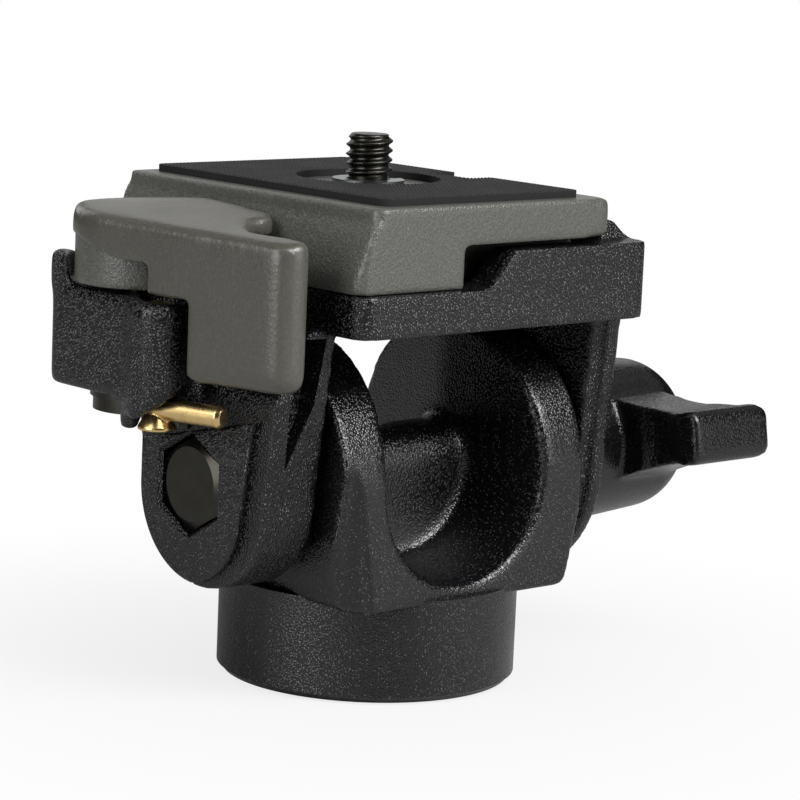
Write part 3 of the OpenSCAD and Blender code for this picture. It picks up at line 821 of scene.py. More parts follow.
@dataclass(frozen=True)
class Platform(SubAssembly):
    """Cast top that tilts: receiver deck with its hook, two ears and the lever's housing."""

    deck: tuple[Point3, Point3] = ((-25.3, -25.2, 50.4), (26.2, 28.19, 56.0))
    corner_r: float = 2.2
    stop_w: float = 4.5
    stop_z: float = 60.8
    ramp_x: float = -3.4
    ramp_w: float = 4.3
    hook_tip: float = 20.3
    hook_root: float = 22.1
    hook_h: float = 2.6
    ear_x: float = 22.6
    ear_face: float = -31.3
    ear_top: float = 50.8
    shoulder: tuple[Point2, Point2] = ((-1.0, 41.2), (3.8, 46.0))
    tongue_r: float = 12.6
    tongue_mid: Point2 = (-1.9, 27.8)
    pocket: tuple[Point2, ...] = ((2.6, 32.6), (6.2, 41.1), (7.0, 49.8), (1.9, 49.8))
    pocket_depth: float = 0.9
    pad_inset: float = 0.6
    pad_front: tuple[Point2, float] = ((0.6, 27.0), 11.3)
    pad_slope: float = 0.235
    pad_top: float = 7.1
    pad_bevel: float = 0.38
    right_ear_r: float = 18.0
    right_out: float = 26.9
    pivot: Point2 = LEVER_PIVOT
    drum_r: float = 9.8
    catch: Point2 = CATCH_PIVOT
    column_r: float = 4.2
    column_cut: Point3 = (0.405, -0.364, -0.839)
    catch_turn: int = 14
    sweep_r: float = 11.2
    sweep_room: float = 1.8
    sweep_z: Point2 = (36.6, 41.05)
    house: tuple[Point3, Point3] = ((-41.0, -1.0, 40.0), (-24.9, 20.2, 53.6))
    wall: Point2 = (4.6, 4.4)
    stub_r: float = 1.45
    hex_flats: float = 11.8
    hex_floor: float = -27.1
    hex_bevel: float = 0.55
    bolt_room: float = 3.6
    skin: Skin = (0.45, 6)
    house_rounds: int = 36
    # Lever pivot, its head and spring; catch, its spring and pin; plunger; camera screw's head
    bores: tuple[Bore, ...] = (
        (LEVER_PIVOT, 36.9, CROWN, 3.05), (LEVER_PIVOT, 36.9, 40, 7.0),
        (LEVER_PIVOT, 47.4, CROWN, 5.8), (CATCH_PIVOT, 36.4, CROWN, 1.55),
        (CATCH_PIVOT, 45, CROWN, 2.8), ((-32.8, 0.4), 39, 43.02, 0.92),
        ((-18.5, 12), 40, CROWN, 2.05), ((-18.5, 12), 52, CROWN, 3.5), (PLATE_MID, 54.4, CROWN, 10))

    def receiver(self) -> Object:
        """Model the deck, its stops and the fixed hook."""
        (left, front, low), (right, back, top) = self.deck
        around = round_rect((left, front), (right, back), self.corner_r)
        deck = Bench.prism(around, Axis.Z, low, top)
        ramp, root, crest = self.ramp_x, top - 1, self.stop_z
        stop = [(ramp, root), (ramp, top), (ramp + self.ramp_w, crest), (right, crest),
                (right, root)]
        for start in (front, back - self.stop_w):
            bar = Bench.prism(stop, Axis.Y, start, start + self.stop_w)
            Bench.add(deck, Bench.keep(bar, Bench.prism(around, Axis.Z, UNDER, OVER)))
        over, tip, lap = crest + self.hook_h, self.hook_tip, 0.4
        hook = [(right, root), (right, crest), (right - 3.2, over), (tip + 0.3, over),
                (tip, crest + 1.8), (self.hook_root, top + 1.2), (self.hook_root, root)]
        return Bench.add(deck, Bench.prism(hook, Axis.Y, front + self.stop_w - lap,
                                           back - self.stop_w + lap))

    def left_ear(self) -> Object:
        """Model the left ear, hanging from the deck with a sloping shoulder."""
        y, face, root = self.tongue_mid[0], self.ear_face, -self.ear_x + 1
        tongue = arc(self.tongue_mid, self.tongue_r, 180, 360)
        tongue += [(y + self.tongue_r + 4, self.ear_top), (y - self.tongue_r - 3, self.ear_top)]
        (out, low), (back, high) = self.shoulder
        lean = [(root, 0), (face + out, 0), (face + out, low), (face + back, high),
                (face + back, CROWN), (root, CROWN)]
        return Bench.keep(Bench.prism(tongue, Axis.X, face, -self.ear_x),
                          Bench.prism(lean, Axis.Y, -REACH, REACH))

    def pointed_pocket(self) -> Object:
        """Model the pointed pocket in the left ear's front edge, beside its gusset."""
        outline = [(self.ear_face + x, z) for x, z in self.pocket]
        edge = self.tongue_mid[0] - self.tongue_r
        return Bench.prism(outline, Axis.Y, -SIDE, edge + self.pocket_depth)

    def right_ear(self) -> Object:
        """Model the right ear, whose rim has two bands."""
        bands = []
        for radius, start, end in ((self.right_ear_r - 1.2, self.ear_x, self.ear_x + 2.2),
                                   (self.right_ear_r, self.ear_x + 1.8, self.right_out)):
            outline = arc((0, AXIS_Z), radius, 180, 360)
            outline += [(radius + 2, self.ear_top), (-radius - 2, self.ear_top)]
            bands.append(Bench.prism(outline, Axis.X, start, end))
        return Bench.add(*bands)

    def housing(self) -> Object:
        """Model the box under the lever with the catch's column, a wall and a foundry stub."""
        (left, front, low), (right, back, top) = self.house
        box = Bench.prism(round_rect((left, front), (right, back), 2.0), Axis.Z, low, top)
        column = Bench.rod(Axis.Z, self.catch, low - 2.4, top - 0.4, self.column_r)
        Bench.slice(column, Vector((*self.catch, low - 0.4)) * MM, Vector(self.column_cut))
        thick, high = self.wall
        around = round_rect((left, self.pivot[1] + 4), (left + thick, back), 0.7)
        wall = Bench.prism(around, Axis.Z, top - 1, top + high)
        Bench.cut(wall, Bench.rod(Axis.Z, self.pivot, UNDER, OVER, self.drum_r))
        foot = (left + 2, self.pivot[1] - 6.2)
        return Bench.add(box, column, wall, Bench.rod(Axis.Z, foot, low - 4, low + 1, self.stub_r))

    def raised_pad(self) -> Object:
        """Model the pad round the bolt's recess, with its sloping top edge."""
        radius, y = self.tongue_r - self.pad_inset, self.tongue_mid[0]
        outline = arc(*self.pad_front, 188, 262) + arc(self.tongue_mid, radius, 276, 360)
        outline += [(end, AXIS_Z + self.pad_top - self.pad_slope * end)
                    for end in (y + radius, y - radius + 1.1)]
        face = self.ear_face - 1
        pad = Bench.prism(outline, Axis.X, face, self.ear_face + 1)
        return Bench.round_edges(pad, lambda a, b: max(a.x, b.x) < face + 0.1, self.pad_bevel, 3)

    def recess(self) -> Object:
        """Model the hexagonal room for the bolt's head, with a bevelled mouth."""
        face, middle, bevel = self.ear_face - 1, (0, AXIS_Z), self.hex_bevel
        outline = hexagon(middle, self.hex_flats)
        grow = 1 + 2 * bevel / (self.hex_flats / 2 / math.cos(math.pi / 6))
        return Bench.add(Bench.prism(outline, Axis.X, face - 2, self.hex_floor),
                         Bench.prism(outline, Axis.X, face + bevel, face - bevel, grow, middle))

    def sweep(self) -> Object:
        """Model the room for the catch arm's swing."""
        last, step = CATCH_HEADING - self.catch_turn, 8
        angles = (CATCH_HEADING + 90, *range(CATCH_HEADING + step, last - step - 1, -step),
                  last - 90)
        reach = [self.sweep_room] + [self.sweep_r] * (len(angles) - 2) + [self.sweep_room]
        (x, y), turns = self.catch, [math.radians(a) for a in angles]
        outline = [(x + r * math.cos(a), y + r * math.sin(a)) for r, a in zip(reach, turns)]
        return Bench.prism(outline, Axis.Z, *self.sweep_z)

    def build(self, finishes: Finishes) -> None:
        """Model and dress the casting."""
        casting = self.receiver()
        Bench.add(casting, self.left_ear(), self.right_ear(), self.housing())
        Bench.cast(casting, *self.skin)
        Bench.flow(casting, lambda p: (self.ear_face - 1.2 - p.x) / 2, self.house_rounds)
        Bench.add(casting, self.raised_pad())
        Bench.cut(casting, self.pointed_pocket(), self.recess(),
                  Bench.rod(Axis.X, (0, AXIS_Z), -SIDE, REACH, self.bolt_room), self.sweep(),
                  *(Bench.rod(Axis.Z, *bore) for bore in self.bores))
        dress(Bench.shade(casting), "platform_casting", finishes.rough_coat, Body.PLATFORM,
              "black_coat", "tilt_platform")


@dataclass(frozen=True)
class TiltBolt(SubAssembly):
    """Tilt bolt, its hexagonal head chamfered to a round face."""

    head: Point2 = (-31.9, -27.12)
    flats: float = 11.0
    face_r: float = 4.95
    flare: float = 8.0
    shank_r: float = 3.5
    end_x: float = 44.9
    tip: float = 0.8
    sharp: float = 20.0

    def build(self, finishes: Finishes) -> None:
        """Model and dress the bolt."""
        (start, stop), middle = self.head, (0, AXIS_Z)
        neck, shank = self.end_x - self.tip, self.shank_r
        bolt = Bench.prism(hexagon(middle, self.flats), Axis.X, start, stop)
        Bench.keep(bolt, Bench.rod(Axis.X, middle, start, stop + 0.1, self.face_r,
                                   self.face_r + self.flare))
        Bench.add(bolt, Bench.rod(Axis.X, middle, stop - 0.4, neck, shank),
                  Bench.rod(Axis.X, middle, neck - 2 * HAIR, self.end_x, shank, shank - self.tip))
        dress(Bench.shade(bolt, self.sharp), "tilt_bolt_forged", finishes.black_steel,
              Body.PLATFORM, "black_steel", "pivot_bolt")


@dataclass(frozen=True)
class CameraPlate(SubAssembly):
    """Quick-release plate with its ribbed pad."""

    mid: Point2 = PLATE_MID
    width: float = 42.0
    length: float = 52.0
    floor_z: float = 56.0
    flange_z: float = 61.6
    top_z: float = 66.85
    corner_r: float = 1.6
    foot_left: float = -25.2
    foot_right: float = 21.7
    flare_steps: int = 14
    flare_power: float = 0.78
    cut_left: float = -7.4
    cut_depth: float = 7.2
    screw_room: tuple[Point2, Point2] = ((OVER, 3.45), (61.4, 10.0))
    pad_t: float = 1.0
    pad_inset: Point3 = (3.0, 2.25, 4.2)
    pad_hole: float = 9.8
    pad_z: Point2 = (60.0, 70.0)
    rib_half: Point2 = (0.17, 0.08)
    rib_pitch: float = 0.5
    rib_h: float = 0.08
    rib_margin: float = 0.5
    rib_turn: float = -38.0
    rib_span: float = 76.0
    rib_sharp: float = 20.0
    skin: Skin = (0.4, 12)
    end_rounds: int = 40

    @property
    def sides(self) -> tuple[float, float, float, float]:
        """Left, right, front and back edge of the plate's top, mm."""
        half, reach = self.width / 2, self.length / 2
        return self.mid[0] - half, self.mid[0] + half, self.mid[1] - reach, self.mid[1] + reach

    def plate(self) -> Object:
        """Model the plate: a flange over flared feet, cut out over the platform's stops."""
        left, right, front, back = self.sides
        low, under, end = self.floor_z, self.flange_z, self.foot_right
        flange = Bench.prism(round_rect((left, front), (right, back), self.corner_r), Axis.Z,
                             under, self.top_z)
        hem, high, wide = low + 2.1, self.top_z - 1.8, left - self.foot_left
        steps = [i / self.flare_steps for i in range(self.flare_steps, -1, -1)]
        flare = [(left - wide * t ** self.flare_power, high + (hem - high) * t) for t in steps]
        section = [(left + 4, high), (left + 4, under + 1), (right - 1, under + 1),
                   (right - 1, under), (end, low + 1.4), (end, low), (self.foot_left, low)]
        feet = Bench.prism(section + flare, Axis.Y, front, back)
        around = round_rect((self.foot_left, front), (end, back), self.corner_r)
        Bench.keep(feet, Bench.prism(around, Axis.Z, UNDER, OVER))
        for start, stop in ((-REACH, front + self.cut_depth), (back - self.cut_depth, REACH)):
            Bench.cut(feet, Bench.block((self.cut_left, start, UNDER), (REACH, stop, under)))
        return Bench.add(flange, feet)

    def ribs(self, high: float) -> Object:
        """Model a row of fine ribs that runs across the plate at a slant."""
        (foot, crest), low = self.rib_half, high - self.rib_h
        section = [(-foot, low - 0.1), (foot, low - 0.1), (foot, low), (crest, high),
                   (-crest, high), (-foot, low)]
        bar = Bench.prism(section, Axis.Y, -REACH, REACH)
        count = int(self.rib_span / self.rib_pitch)
        Bench.modify(bar, "ARRAY", count=count, use_relative_offset=False,
                     use_constant_offset=True,
                     constant_offset_displace=(self.rib_pitch * MM, 0, 0))
        x, y = self.mid
        bar.location = Vector((x - self.rib_pitch * (count - 1) / 2, y, 0)) * MM
        return Bench.turn(Bench.settle(bar), Axis.Z, self.rib_turn, (x, y, 0))

    def pad(self) -> Object:
        """Model the pad: a thin sheet with a round hole, a notch in its right edge and ribs."""
        left, right, front, back = self.sides
        aside, ahead, short = self.pad_inset
        low, high, edge, y = self.top_z, self.top_z + self.pad_t, right - short, self.mid[1]
        outline = round_rect((left + aside, front + ahead), (edge, back - ahead), 1.5)
        pad = Bench.prism(outline, Axis.Z, low, high - self.rib_h)
        rim, deep = self.rib_margin, ahead + self.rib_margin
        inside = round_rect((left + aside + rim, front + deep), (edge - rim, back - deep), 1.0)
        Bench.add(pad, Bench.keep(self.ribs(high), Bench.prism(inside, Axis.Z, low, high + 1)))
        notch = round_rect((edge - 4.4, y - 6.6), (edge + 9, y + 1), 1.2)
        return Bench.cut(pad, Bench.rod(Axis.Z, self.mid, *self.pad_z, self.pad_hole),
                         Bench.prism(notch, Axis.Z, *self.pad_z))

    def build(self, finishes: Finishes) -> None:
        """Model and dress the plate and its pad."""
        plate = Bench.cast(self.plate(), *self.skin)
        Bench.flow(plate, lambda p: (p.x - self.sides[1] + 5) / 2, self.end_rounds)
        Bench.cut(plate, *(Bench.rod(Axis.Z, self.mid, UNDER, *room) for room in self.screw_room))
        dress(Bench.shade(plate), "camera_plate", finishes.grey_paint, Body.PLATFORM,
              "grey_paint", "quick_release_plate")
        dress(Bench.shade(self.pad(), self.rib_sharp), "ribbed_pad", finishes.rubber,
              Body.PLATFORM, "rubber", "plate_pad")


@dataclass(frozen=True)
class CameraScrew(SubAssembly):
    """Captive camera screw with a 1/4 inch thread of 20 turns to the inch."""

    mid: Point2 = PLATE_MID
    thread_r: float = 3.175
    root_r: float = 2.55
    pitch: float = 1.27
    turns: int = 5
    turn_steps: int = 64
    start_z: float = 67.5
    end_z: float = 73.64
    core_z: float = 66.0
    tip_r: float = 2.3
    nose: Point3 = (CROWN, 13.6, 2.45)
    collar: Point3 = (60.9, 66.85, 3.4)
    head: Point3 = (58.4, 61.2, 8.0)
    slot: Point3 = (9.0, 0.8, 59.6)
    skin: Skin = (0.13, 2)

    def thread(self) -> Object:
        """Model the helical ridge of the thread."""
        root, buried, steps = self.root_r, self.root_r - 0.4, self.turn_steps * self.turns
        ridge = [(buried, 0.0), (root, 0.08), (self.thread_r, 0.5), (self.thread_r, 0.66),
                 (root, 1.08), (buried, 1.16)]
        piece = Bench.ring([Axis.Y.place(r, z, 0) for r, z in ridge], "NOTHING")
        Bench.modify(piece, "SCREW", axis="Z", angle=math.tau * self.turns,
                     screw_offset=self.pitch * self.turns * MM, steps=steps, render_steps=steps)
        for end in (0, steps):
            Bench.edit("DESELECT")
            bpy.ops.object.mode_set(mode="OBJECT")
            for i in range(len(ridge)):
                piece.data.vertices[end * len(ridge) + i].select = True
            bpy.ops.object.mode_set(mode="EDIT")
            bpy.ops.mesh.edge_face_add()
        Bench.close()
        piece.location = Vector((*self.mid, self.start_z - 0.3)) * MM
        return Bench.settle(piece)

    def build(self, finishes: Finishes) -> None:
        """Model and dress the screw."""
        (x, y), end, core = self.mid, self.end_z, self.root_r + 0.05
        low, wide, blunt = self.nose
        screw = Bench.rod(Axis.Z, self.mid, self.core_z, end - 0.5, core)
        Bench.add(screw, self.thread(),
                  Bench.rod(Axis.Z, self.mid, end - 0.55, end, core, self.tip_r))
        Bench.keep(screw, Bench.rod(Axis.Z, self.mid, low, end, wide, blunt))
        Bench.cast(screw, *self.skin)
        Bench.add(screw, *(Bench.rod(Axis.Z, self.mid, *size) for size in (self.collar, self.head)))
        reach, half, top = self.slot
        Bench.cut(screw, Bench.block((x - reach, y - half, UNDER + 10), (x + reach, y + half, top)))
        dress(Bench.shade(screw), "camera_screw_turned", finishes.black_steel, Body.SCREW,
              "black_steel", "camera_screw")


@dataclass(frozen=True)
class LockLever(SubAssembly):
    """Painted lever with a comma-shaped head, a skirt and a paddle, over a cast cam."""

    pivot: Point2 = LEVER_PIVOT
    head_r: float = 9.4
    inner_r: float = 8.1
    cam_r: float = 6.9
    cam_inset: float = 0.35
    bore_r: float = 3.02
    bore_top: float = 63.4
    sector: Point2 = (116.0, 284.0)
    lean: float = 12.0
    top: Point3 = (-23.5, 5.0, 65.4)
    slopes: tuple[Point2, Point2] = ((0.1157, 0.0598), (0.0, -0.0805))
    head_z: float = 61.9
    low_z: float = 54.0
    skirt_h: float = 4.0
    paddle_z: float = 43.5
    paddle_t: float = 5.2
    paddle_back: float = -6.5
    paddle_end: float = -21.8
    paddle_bevel: float = 1.6
    end_bevel: float = 2.0
    neck: float = -13.8
    arm_back: float = 0.0
    wave_back: float = 3.5
    wave: Point2 = (12.0, 2.4)
    wave_steps: int = 12
    knuckle: Point2 = (-27.0, -4.5)
    knuckle_r: float = 3.0
    hollow: Point2 = (-27.2, -12.1)
    hollow_r: float = 4.9
    skin: Skin = (0.38, 8)
    cam_skin: Skin = (0.42, 3)
    soft_rounds: int = 60

    def wall(self, y: float) -> float:
        """X of the outer wall at a station, mm: it leans in towards the front."""
        angle = math.radians(self.lean)
        return self.pivot[0] - self.head_r / math.cos(angle) + (self.pivot[1] - y) * math.tan(angle)

    def arm(self, start: float, end: float, low: float, high: float) -> Object:
        """Model a stretch of the arm inside the outer wall, with a round front end.

        Args:
            start: Y of its back end, mm.
            end: Y of its front end, mm.
            low: Underside, mm.
            high: Top, mm.

        Returns:
            The new solid.
        """
        outline = [(self.wall(start), start), (self.wall(end), end),
                   (self.wall(end) + self.paddle_t, end), (self.wall(start) + self.paddle_t, start)]
        return Bench.round_edges(
            Bench.prism(outline, Axis.Z, low, high),
            lambda a, b: max(a.y, b.y) < end + 0.1 and abs(a.z - b.z) > 1, self.end_bevel, 6)

    def head(self, low: float, high: float) -> Object:
        """Model the comma-shaped head: knuckle beside the plate and hollow towards the arm."""
        y, neck, radius = self.pivot[1], self.neck, self.knuckle_r
        kx, ky = self.knuckle
        body = [(self.wall(y - 2), y - 2), (self.wall(neck), neck),
                (self.wall(neck) + self.paddle_t, neck)]
        body += arc(self.hollow, self.hollow_r, 195, 90, 16)
        body += [(kx, ky - radius), (kx + radius, ky), (kx + radius, y - 1)]
        outer = [self.pivot] + arc(self.pivot, self.head_r, *self.sector)
        return Bench.add(Bench.rod(Axis.Z, self.pivot, low, high, self.inner_r),
                         Bench.prism(outer, Axis.Z, low, high),
                         Bench.prism(body, Axis.Z, low, high),
                         Bench.rod(Axis.Z, self.knuckle, low, high, radius),
                         self.arm(self.paddle_back + 1, self.paddle_end, low, high))

    def skirt(self) -> Object:
        """Model the skirt that hangs from the head, with its S-shaped lower edge."""
        low, (length, rise), (middle, _) = self.low_z + self.skirt_h, self.wave, self.pivot
        skirt = self.head(low, self.head_z + 0.5)
        Bench.keep(skirt, Bench.block((-CROWN, -CROWN, 0), (middle, CROWN, 100)))
        steps = [i / self.wave_steps for i in range(self.wave_steps + 1)]
        edge = [(self.arm_back, UNDER), (self.arm_back, low)]
        edge += [(self.wave_back + t * length, low + rise * t * t * (3 - 2 * t)) for t in steps]
        edge += [(REACH, low + rise), (REACH, UNDER)]
        return Bench.cut(skirt, Bench.prism(edge, Axis.X, -CROWN, middle + 1))

    def soft(self, p: Vector) -> float:
        """Weight of a point for the wide roundings of the lever's top and paddle."""
        fade, firm = 1.5, 0.7
        share = firm if p.x > self.knuckle[0] - 2 else 1.0
        ahead = (self.paddle_back - fade - p.y) / fade
        return share * min(1.0, max(p.z - self.head_z, ahead))

    def lever(self) -> Object:
        """Model the painted part with its crowned top."""
        lever = self.head(self.head_z, self.top[2] + 1)
        paddle = self.arm(self.paddle_back, self.paddle_end, self.paddle_z, self.head_z + 0.7)
        Bench.round_edges(paddle, lambda a, b: max(a.z, b.z) < self.paddle_z + 0.1,
                          self.paddle_bevel, 5)
        Bench.add(lever, self.skirt(), self.arm(self.arm_back, self.paddle_back - 3, self.low_z,
                                                self.head_z + 0.6), paddle)
        for across, along in self.slopes:
            Bench.slice(lever, Vector(self.top) * MM, Vector((-across, -along, 1)))
        Bench.flow(Bench.cast(lever, *self.skin), self.soft, self.soft_rounds)
        return Bench.cut(lever, Bench.rod(Axis.Z, self.pivot, UNDER, self.bore_top, self.bore_r))

    def drum(self) -> Object:
        """Model the cam below the head."""
        low, top = self.low_z, self.head_z
        outer = [self.pivot] + arc(self.pivot, self.head_r - self.cam_inset, *self.sector)
        cam = Bench.add(Bench.rod(Axis.Z, self.pivot, low, top + 0.2, self.cam_r),
                        Bench.prism(outer, Axis.Z, low, top + 0.1))
        Bench.cast(cam, *self.cam_skin)
        return Bench.cut(cam, Bench.rod(Axis.Z, self.pivot, UNDER, OVER, self.bore_r))

    def build(self, finishes: Finishes) -> None:
        """Model and dress the lever and its cam."""
        dress(Bench.shade(self.lever()), "lever_painted", finishes.taupe_paint, Body.LEVER,
              "taupe_paint", "lock_lever")
        dress(Bench.shade(self.drum()), "lever_cam_drum", finishes.grey_paint, Body.LEVER,
              "taupe_paint")


@dataclass(frozen=True)
class SafetyCatch(SubAssembly):
    """Brass catch: a spindle in the housing's column, with a hub and a round arm."""

    mid: Point2 = CATCH_PIVOT
    arm_z: float = 39.25
    arm_r: float = 1.45
    arm_bevel: float = 0.45
    reach: float = 10.4
    heading: float = CATCH_HEADING
    # Spindle, and the hub's rim and cone
    turned: tuple[tuple[float, ...], ...] = ((36.5, 53.0, 1.5), (36.5, 36.95, 2.5),
                                             (36.9, 38.4, 2.5, 1.6))
    skin: Skin = (0.14, 2)

    def build(self, finishes: Finishes) -> None:
        """Model and dress the catch."""
        (x, y), radius, bevel = self.mid, self.arm_r, self.arm_bevel
        arm = Bench.rod(Axis.X, (y, self.arm_z), x, x + self.reach - 0.4, radius)
        Bench.add(arm, Bench.rod(Axis.X, (y, self.arm_z), x + self.reach - bevel, x + self.reach,
                                 radius, radius - bevel))
        Bench.turn(arm, Axis.Z, self.heading, (x, y, self.arm_z))
        Bench.add(arm, *(Bench.rod(Axis.Z, self.mid, *size) for size in self.turned))
        Bench.cast(arm, *self.skin)
        dress(Bench.shade(arm), "catch_turned", finishes.brass, Body.CATCH, "brass",
              "safety_catch")


@dataclass(frozen=True)
class WingKnob(SubAssembly):
    """Moulded knob: a blunt dome with two wings that narrow from wide roots."""

    mid_x: float = 45.0
    skirt_r: float = 12.0
    skirt_w: float = 3.5
    skirt_rise: float = 1.6
    dome_r: float = 11.0
    squash: float = 0.75
    start_x: float = 28.9
    shoulder_x: float = 48.0
    wing_x: Point2 = (-7.6, 7.8)
    wing_reach: float = 25.5
    wing_t: float = 7.3
    root_t: float = 12.6
    tip_r: float = 1.8
    edge_r: float = 2.4
    scoop_r: float = 7.0
    tilt: float = 9.0
    insert: Point2 = (46.7, 5.02)
    fillet_x: Point2 = (-6.0, 9.0)
    fillet_r: Point2 = (7.0, 17.0)
    skin: Skin = (0.42, 6)
    root_rounds: int = 12

    def wing(self) -> Object:
        """Model one wing towards the front: a blade with a finger scoop, thicker at its root."""
        tip, end = (self.mid_x + x for x in self.wing_x)
        z, half, root, reach = AXIS_Z, self.wing_t / 2, self.root_t / 2, self.wing_reach
        low, high = z - self.root_t, z + self.root_t
        plan = [(tip - 0.3, 0), (tip, -reach), (end - 0.6, -reach), (end, -reach + 0.6),
                (end - 1.6, -6), (end - 4, 0)]
        blade = Bench.prism(plan, Axis.Z, low, high)
        upper = [(2, root), (-8, root), (-11.5, root - 0.9), (-14.9, half + 0.9),
                 (-18, half + 0.3), (-21, half)]
        upper += arc((-reach + self.tip_r, half - 1.6), self.tip_r, 90, 180, 6)
        outline = [(y, z + t) for y, t in upper] + [(y, z - t) for y, t in reversed(upper)]
        Bench.keep(blade, Bench.prism(outline, Axis.X, 0, OVER))
        around = round_rect((end - 12, z - half - 0.3), (end, z + half + 0.3), self.edge_r)
        Bench.keep(blade, Bench.add(Bench.block((0, -REACH, low), (end - 4, 5, high)),
                                    Bench.prism(around, Axis.Y, -REACH, 5)))
        scoop = (tip - 6.0, -reach + self.scoop_r)
        return Bench.cut(blade, Bench.rod(Axis.Z, scoop, 0, CROWN, self.scoop_r))

    def barrel(self) -> Object:
        """Model the knob's round body: skirt, barrel and blunt dome."""
        knee, middle, radius = self.start_x + self.skirt_w, (0, AXIS_Z), self.skirt_r
        dome = Bench.ball((self.shoulder_x, *middle), self.dome_r, self.squash)
        return Bench.add(
            dome,
            Bench.rod(Axis.X, middle, self.start_x, knee, radius - self.skirt_rise, radius),
            Bench.rod(Axis.X, middle, knee - 2 * HAIR, self.shoulder_x, radius, self.dome_r))

    def near_root(self, p: Vector) -> float:
        """Weight of a point for the wide fillets between the wings and the dome."""
        away, along = math.hypot(p.y, p.z - AXIS_Z), p.x - self.mid_x
        inside = self.fillet_x[0] < along < self.fillet_x[1]
        return float(inside and self.fillet_r[0] < away < self.fillet_r[1])

    def build(self, finishes: Finishes) -> None:
        """Model and dress the knob."""
        knob, middle = self.barrel(), (0, AXIS_Z)
        for turn in (0, 180):
            Bench.add(knob, Bench.turn(self.wing(), Axis.X, turn - self.tilt, (0, *middle)))
        Bench.flow(Bench.cast(knob, *self.skin), self.near_root, self.root_rounds)
        Bench.cut(knob, Bench.rod(Axis.X, middle, self.start_x - 2, *self.insert))
        dress(Bench.shade(knob), "wing_knob_moulded", finishes.black_nylon, Body.KNOB,
              "black_plastic", "wing_knob")


@dataclass(frozen=True)
class Hardware(SubAssembly):
    """Small CAD pieces that keep their shape and get their real finish."""

    def build(self, finishes: Finishes) -> None:
        """Give each CAD node its finish."""
        by_finish = {
            finishes.brass: ("base_thread_bush", "knob_insert", "release_plunger"),
            finishes.fibre: ("friction_washer_left", "friction_washer_right"),
            finishes.black_steel: ("lever_pivot_screw", "lever_pivot_washer", "catch_stop_pin"),
            finishes.nylon: ("knob_thrust_washer",),
            finishes.steel: ("knob_washer", "lever_spring", "catch_spring",
                             "catch_retaining_ring", "plunger_spring", "plunger_retainer",
                             "screw_d_ring", "screw_retaining_ring"),
        }
        for finish, nodes in by_finish.items():
            for node in nodes:
                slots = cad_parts[node].data.materials
                slots.clear()
                slots.append(finish)
                LOG.info("%s: CAD node dressed in %s", node, finish.name)


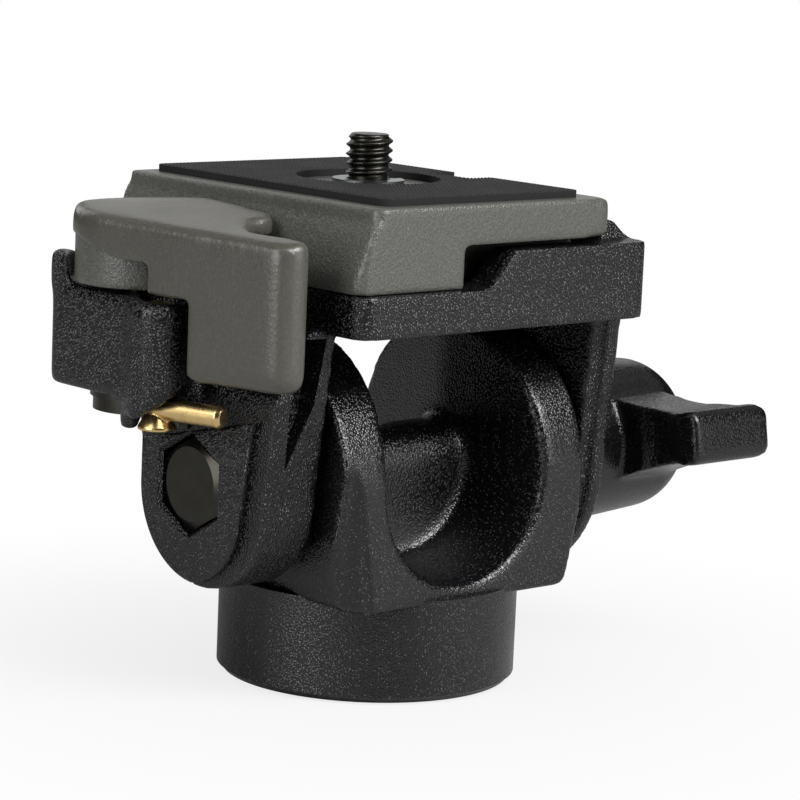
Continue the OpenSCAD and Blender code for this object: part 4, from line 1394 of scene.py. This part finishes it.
@dataclass(frozen=True)
class Studio:
    """Pale floor, soft lights and the camera at the photograph's angle."""

    focal_px: float = 3186.59
    image_px: int = 800
    azimuth: float = -42.37
    elevation: float = 9.43
    distance: float = 434.63
    height: float = 37.46
    aside: float = 5.59
    roll: float = 2.49
    offset: Point3 = (1.73, -1.50, 0.0)
    sensor: float = 36.0
    dim: float = 0.012
    # Name, place in metres and power in watts of each lamp
    lamps: tuple[tuple[str, Point3, float], ...] = (
        ("left_low", (-0.695, -0.03, 0.113), 2.2), ("left_high", (-0.55, 0.06, 0.44), 1.9),
        ("right_low", (0.32, -0.615, 0.113), 1.05), ("right_high", (0.158, -0.496, 0.508), 6.6),
        ("top", (-0.05, -0.34, 0.64), 1.8), ("back_top", (0.48, 0.04, 0.54), 0.15),
        ("back", (0.44, 0.48, 0.28), 0.3), ("back_fill", (0.05, 0.64, 0.32), 0.6))
    lamp_size: float = 0.36
    lamp_aim: Point3 = (0.0, 0.0, 0.04)
    floor_size: float = 6.0
    floor_z: float = -0.0002
    shadow_reach: Point2 = (0.02, 0.1)
    shadow_share: float = 0.8

    def camera(self) -> None:
        """Place the camera."""
        az, el, roll = (math.radians(a) for a in (self.azimuth, self.elevation, self.roll))
        right = Vector((math.cos(az), math.sin(az), 0))
        back = Vector((math.sin(az) * math.cos(el), -math.cos(az) * math.cos(el), math.sin(el)))
        up = back.cross(right)
        place = Vector((0, 0, self.height)) + right * self.aside + back * self.distance
        place -= Vector(self.offset)
        across = right * math.cos(roll) + up * math.sin(roll)
        upward = up * math.cos(roll) - right * math.sin(roll)
        lens = bpy.data.cameras.new("view")
        lens.sensor_width = self.sensor
        lens.lens = self.focal_px / self.image_px * self.sensor
        lens.clip_start, lens.clip_end = 0.01, 20
        camera = bpy.data.objects.new("view", lens)
        bpy.context.scene.collection.objects.link(camera)
        rows = [(*row, shift) for row, shift in zip(zip(across, upward, back), place * MM)]
        camera.matrix_world = Matrix((*rows, (0, 0, 0, 1)))
        bpy.context.scene.camera = camera

    def softbox(self, name: str, place: Point3, power: float) -> None:
        """Hang a soft square lamp.

        Args:
            name: Name of the lamp.
            place: Its place, metres.
            power: Its power, watts.
        """
        lamp = bpy.data.lights.new(name, "AREA")
        lamp.size = self.lamp_size
        lamp.energy = power
        holder = bpy.data.objects.new(name, lamp)
        holder.location = place
        towards = Vector(self.lamp_aim) - Vector(place)
        holder.rotation_euler = towards.to_track_quat("-Z", "Y").to_euler()
        bpy.context.scene.collection.objects.link(holder)

    def floor(self) -> None:
        """Lay the pale floor, which is white to the camera and keeps the head's shadow."""
        bpy.ops.object.select_all(action="DESELECT")
        bpy.ops.mesh.primitive_plane_add(size=self.floor_size, location=(0, 0, self.floor_z))
        floor = Bench.settle(bpy.context.object)
        floor.name = "floor"
        material = bpy.data.materials.new("pale_paper_floor")
        nodes = Nodes(material)
        shader = nodes.tree.nodes["Principled BSDF"]
        nodes.feed(shader, {
            "Base Color": linear("#b0b0b0"), "Roughness": 0.9, "Specular IOR Level": 0.0})
        away = nodes.add("ShaderNodeVectorMath", {0: nodes.where}, operation="LENGTH")["Value"]
        far = nodes.span(away, self.shadow_reach, (self.shadow_share, 1.0))
        rays = nodes.add("ShaderNodeLightPath")
        share = nodes.sum("MULTIPLY", rays["Is Camera Ray"], far)
        glow = nodes.add("ShaderNodeEmission", {"Color": (1, 1, 1, 1), "Strength": 1.0})[0]
        mixed = nodes.add("ShaderNodeMixShader", {0: share, 1: shader.outputs[0], 2: glow})[0]
        nodes.feed(nodes.tree.nodes["Material Output"], {"Surface": mixed})
        floor.data.materials.append(material)

    def sky(self) -> None:
        """Set the surroundings: white to the camera and a dark room for the lamps."""
        world = bpy.data.worlds.new("studio")
        bpy.context.scene.world = world
        nodes = Nodes(world)
        rays = nodes.add("ShaderNodeLightPath")
        level = nodes.span(rays["Is Camera Ray"], (0.0, 1.0), (self.dim, 1.0))
        nodes.feed(nodes.tree.nodes["Background"], {"Color": (1, 1, 1, 1), "Strength": level})

    def build(self) -> None:
        """Set up the studio."""
        self.floor()
        self.sky()
        for name, place, power in self.lamps:
            self.softbox(name, place, power)
        self.camera()
        bpy.context.scene.view_settings.view_transform = "Standard"


def main() -> None:
    """Build the head and its studio."""
    logging.basicConfig(level=logging.INFO, format="%(message)s")
    finishes = Finishes()
    parts: list[SubAssembly] = [Yoke(), Platform(), TiltBolt(), CameraPlate(), CameraScrew(),
                                LockLever(), SafetyCatch(), WingKnob(), Hardware()]
    for part in parts:
        part.build(finishes)
    Studio().build()


if __name__ == "__main__":
    main()
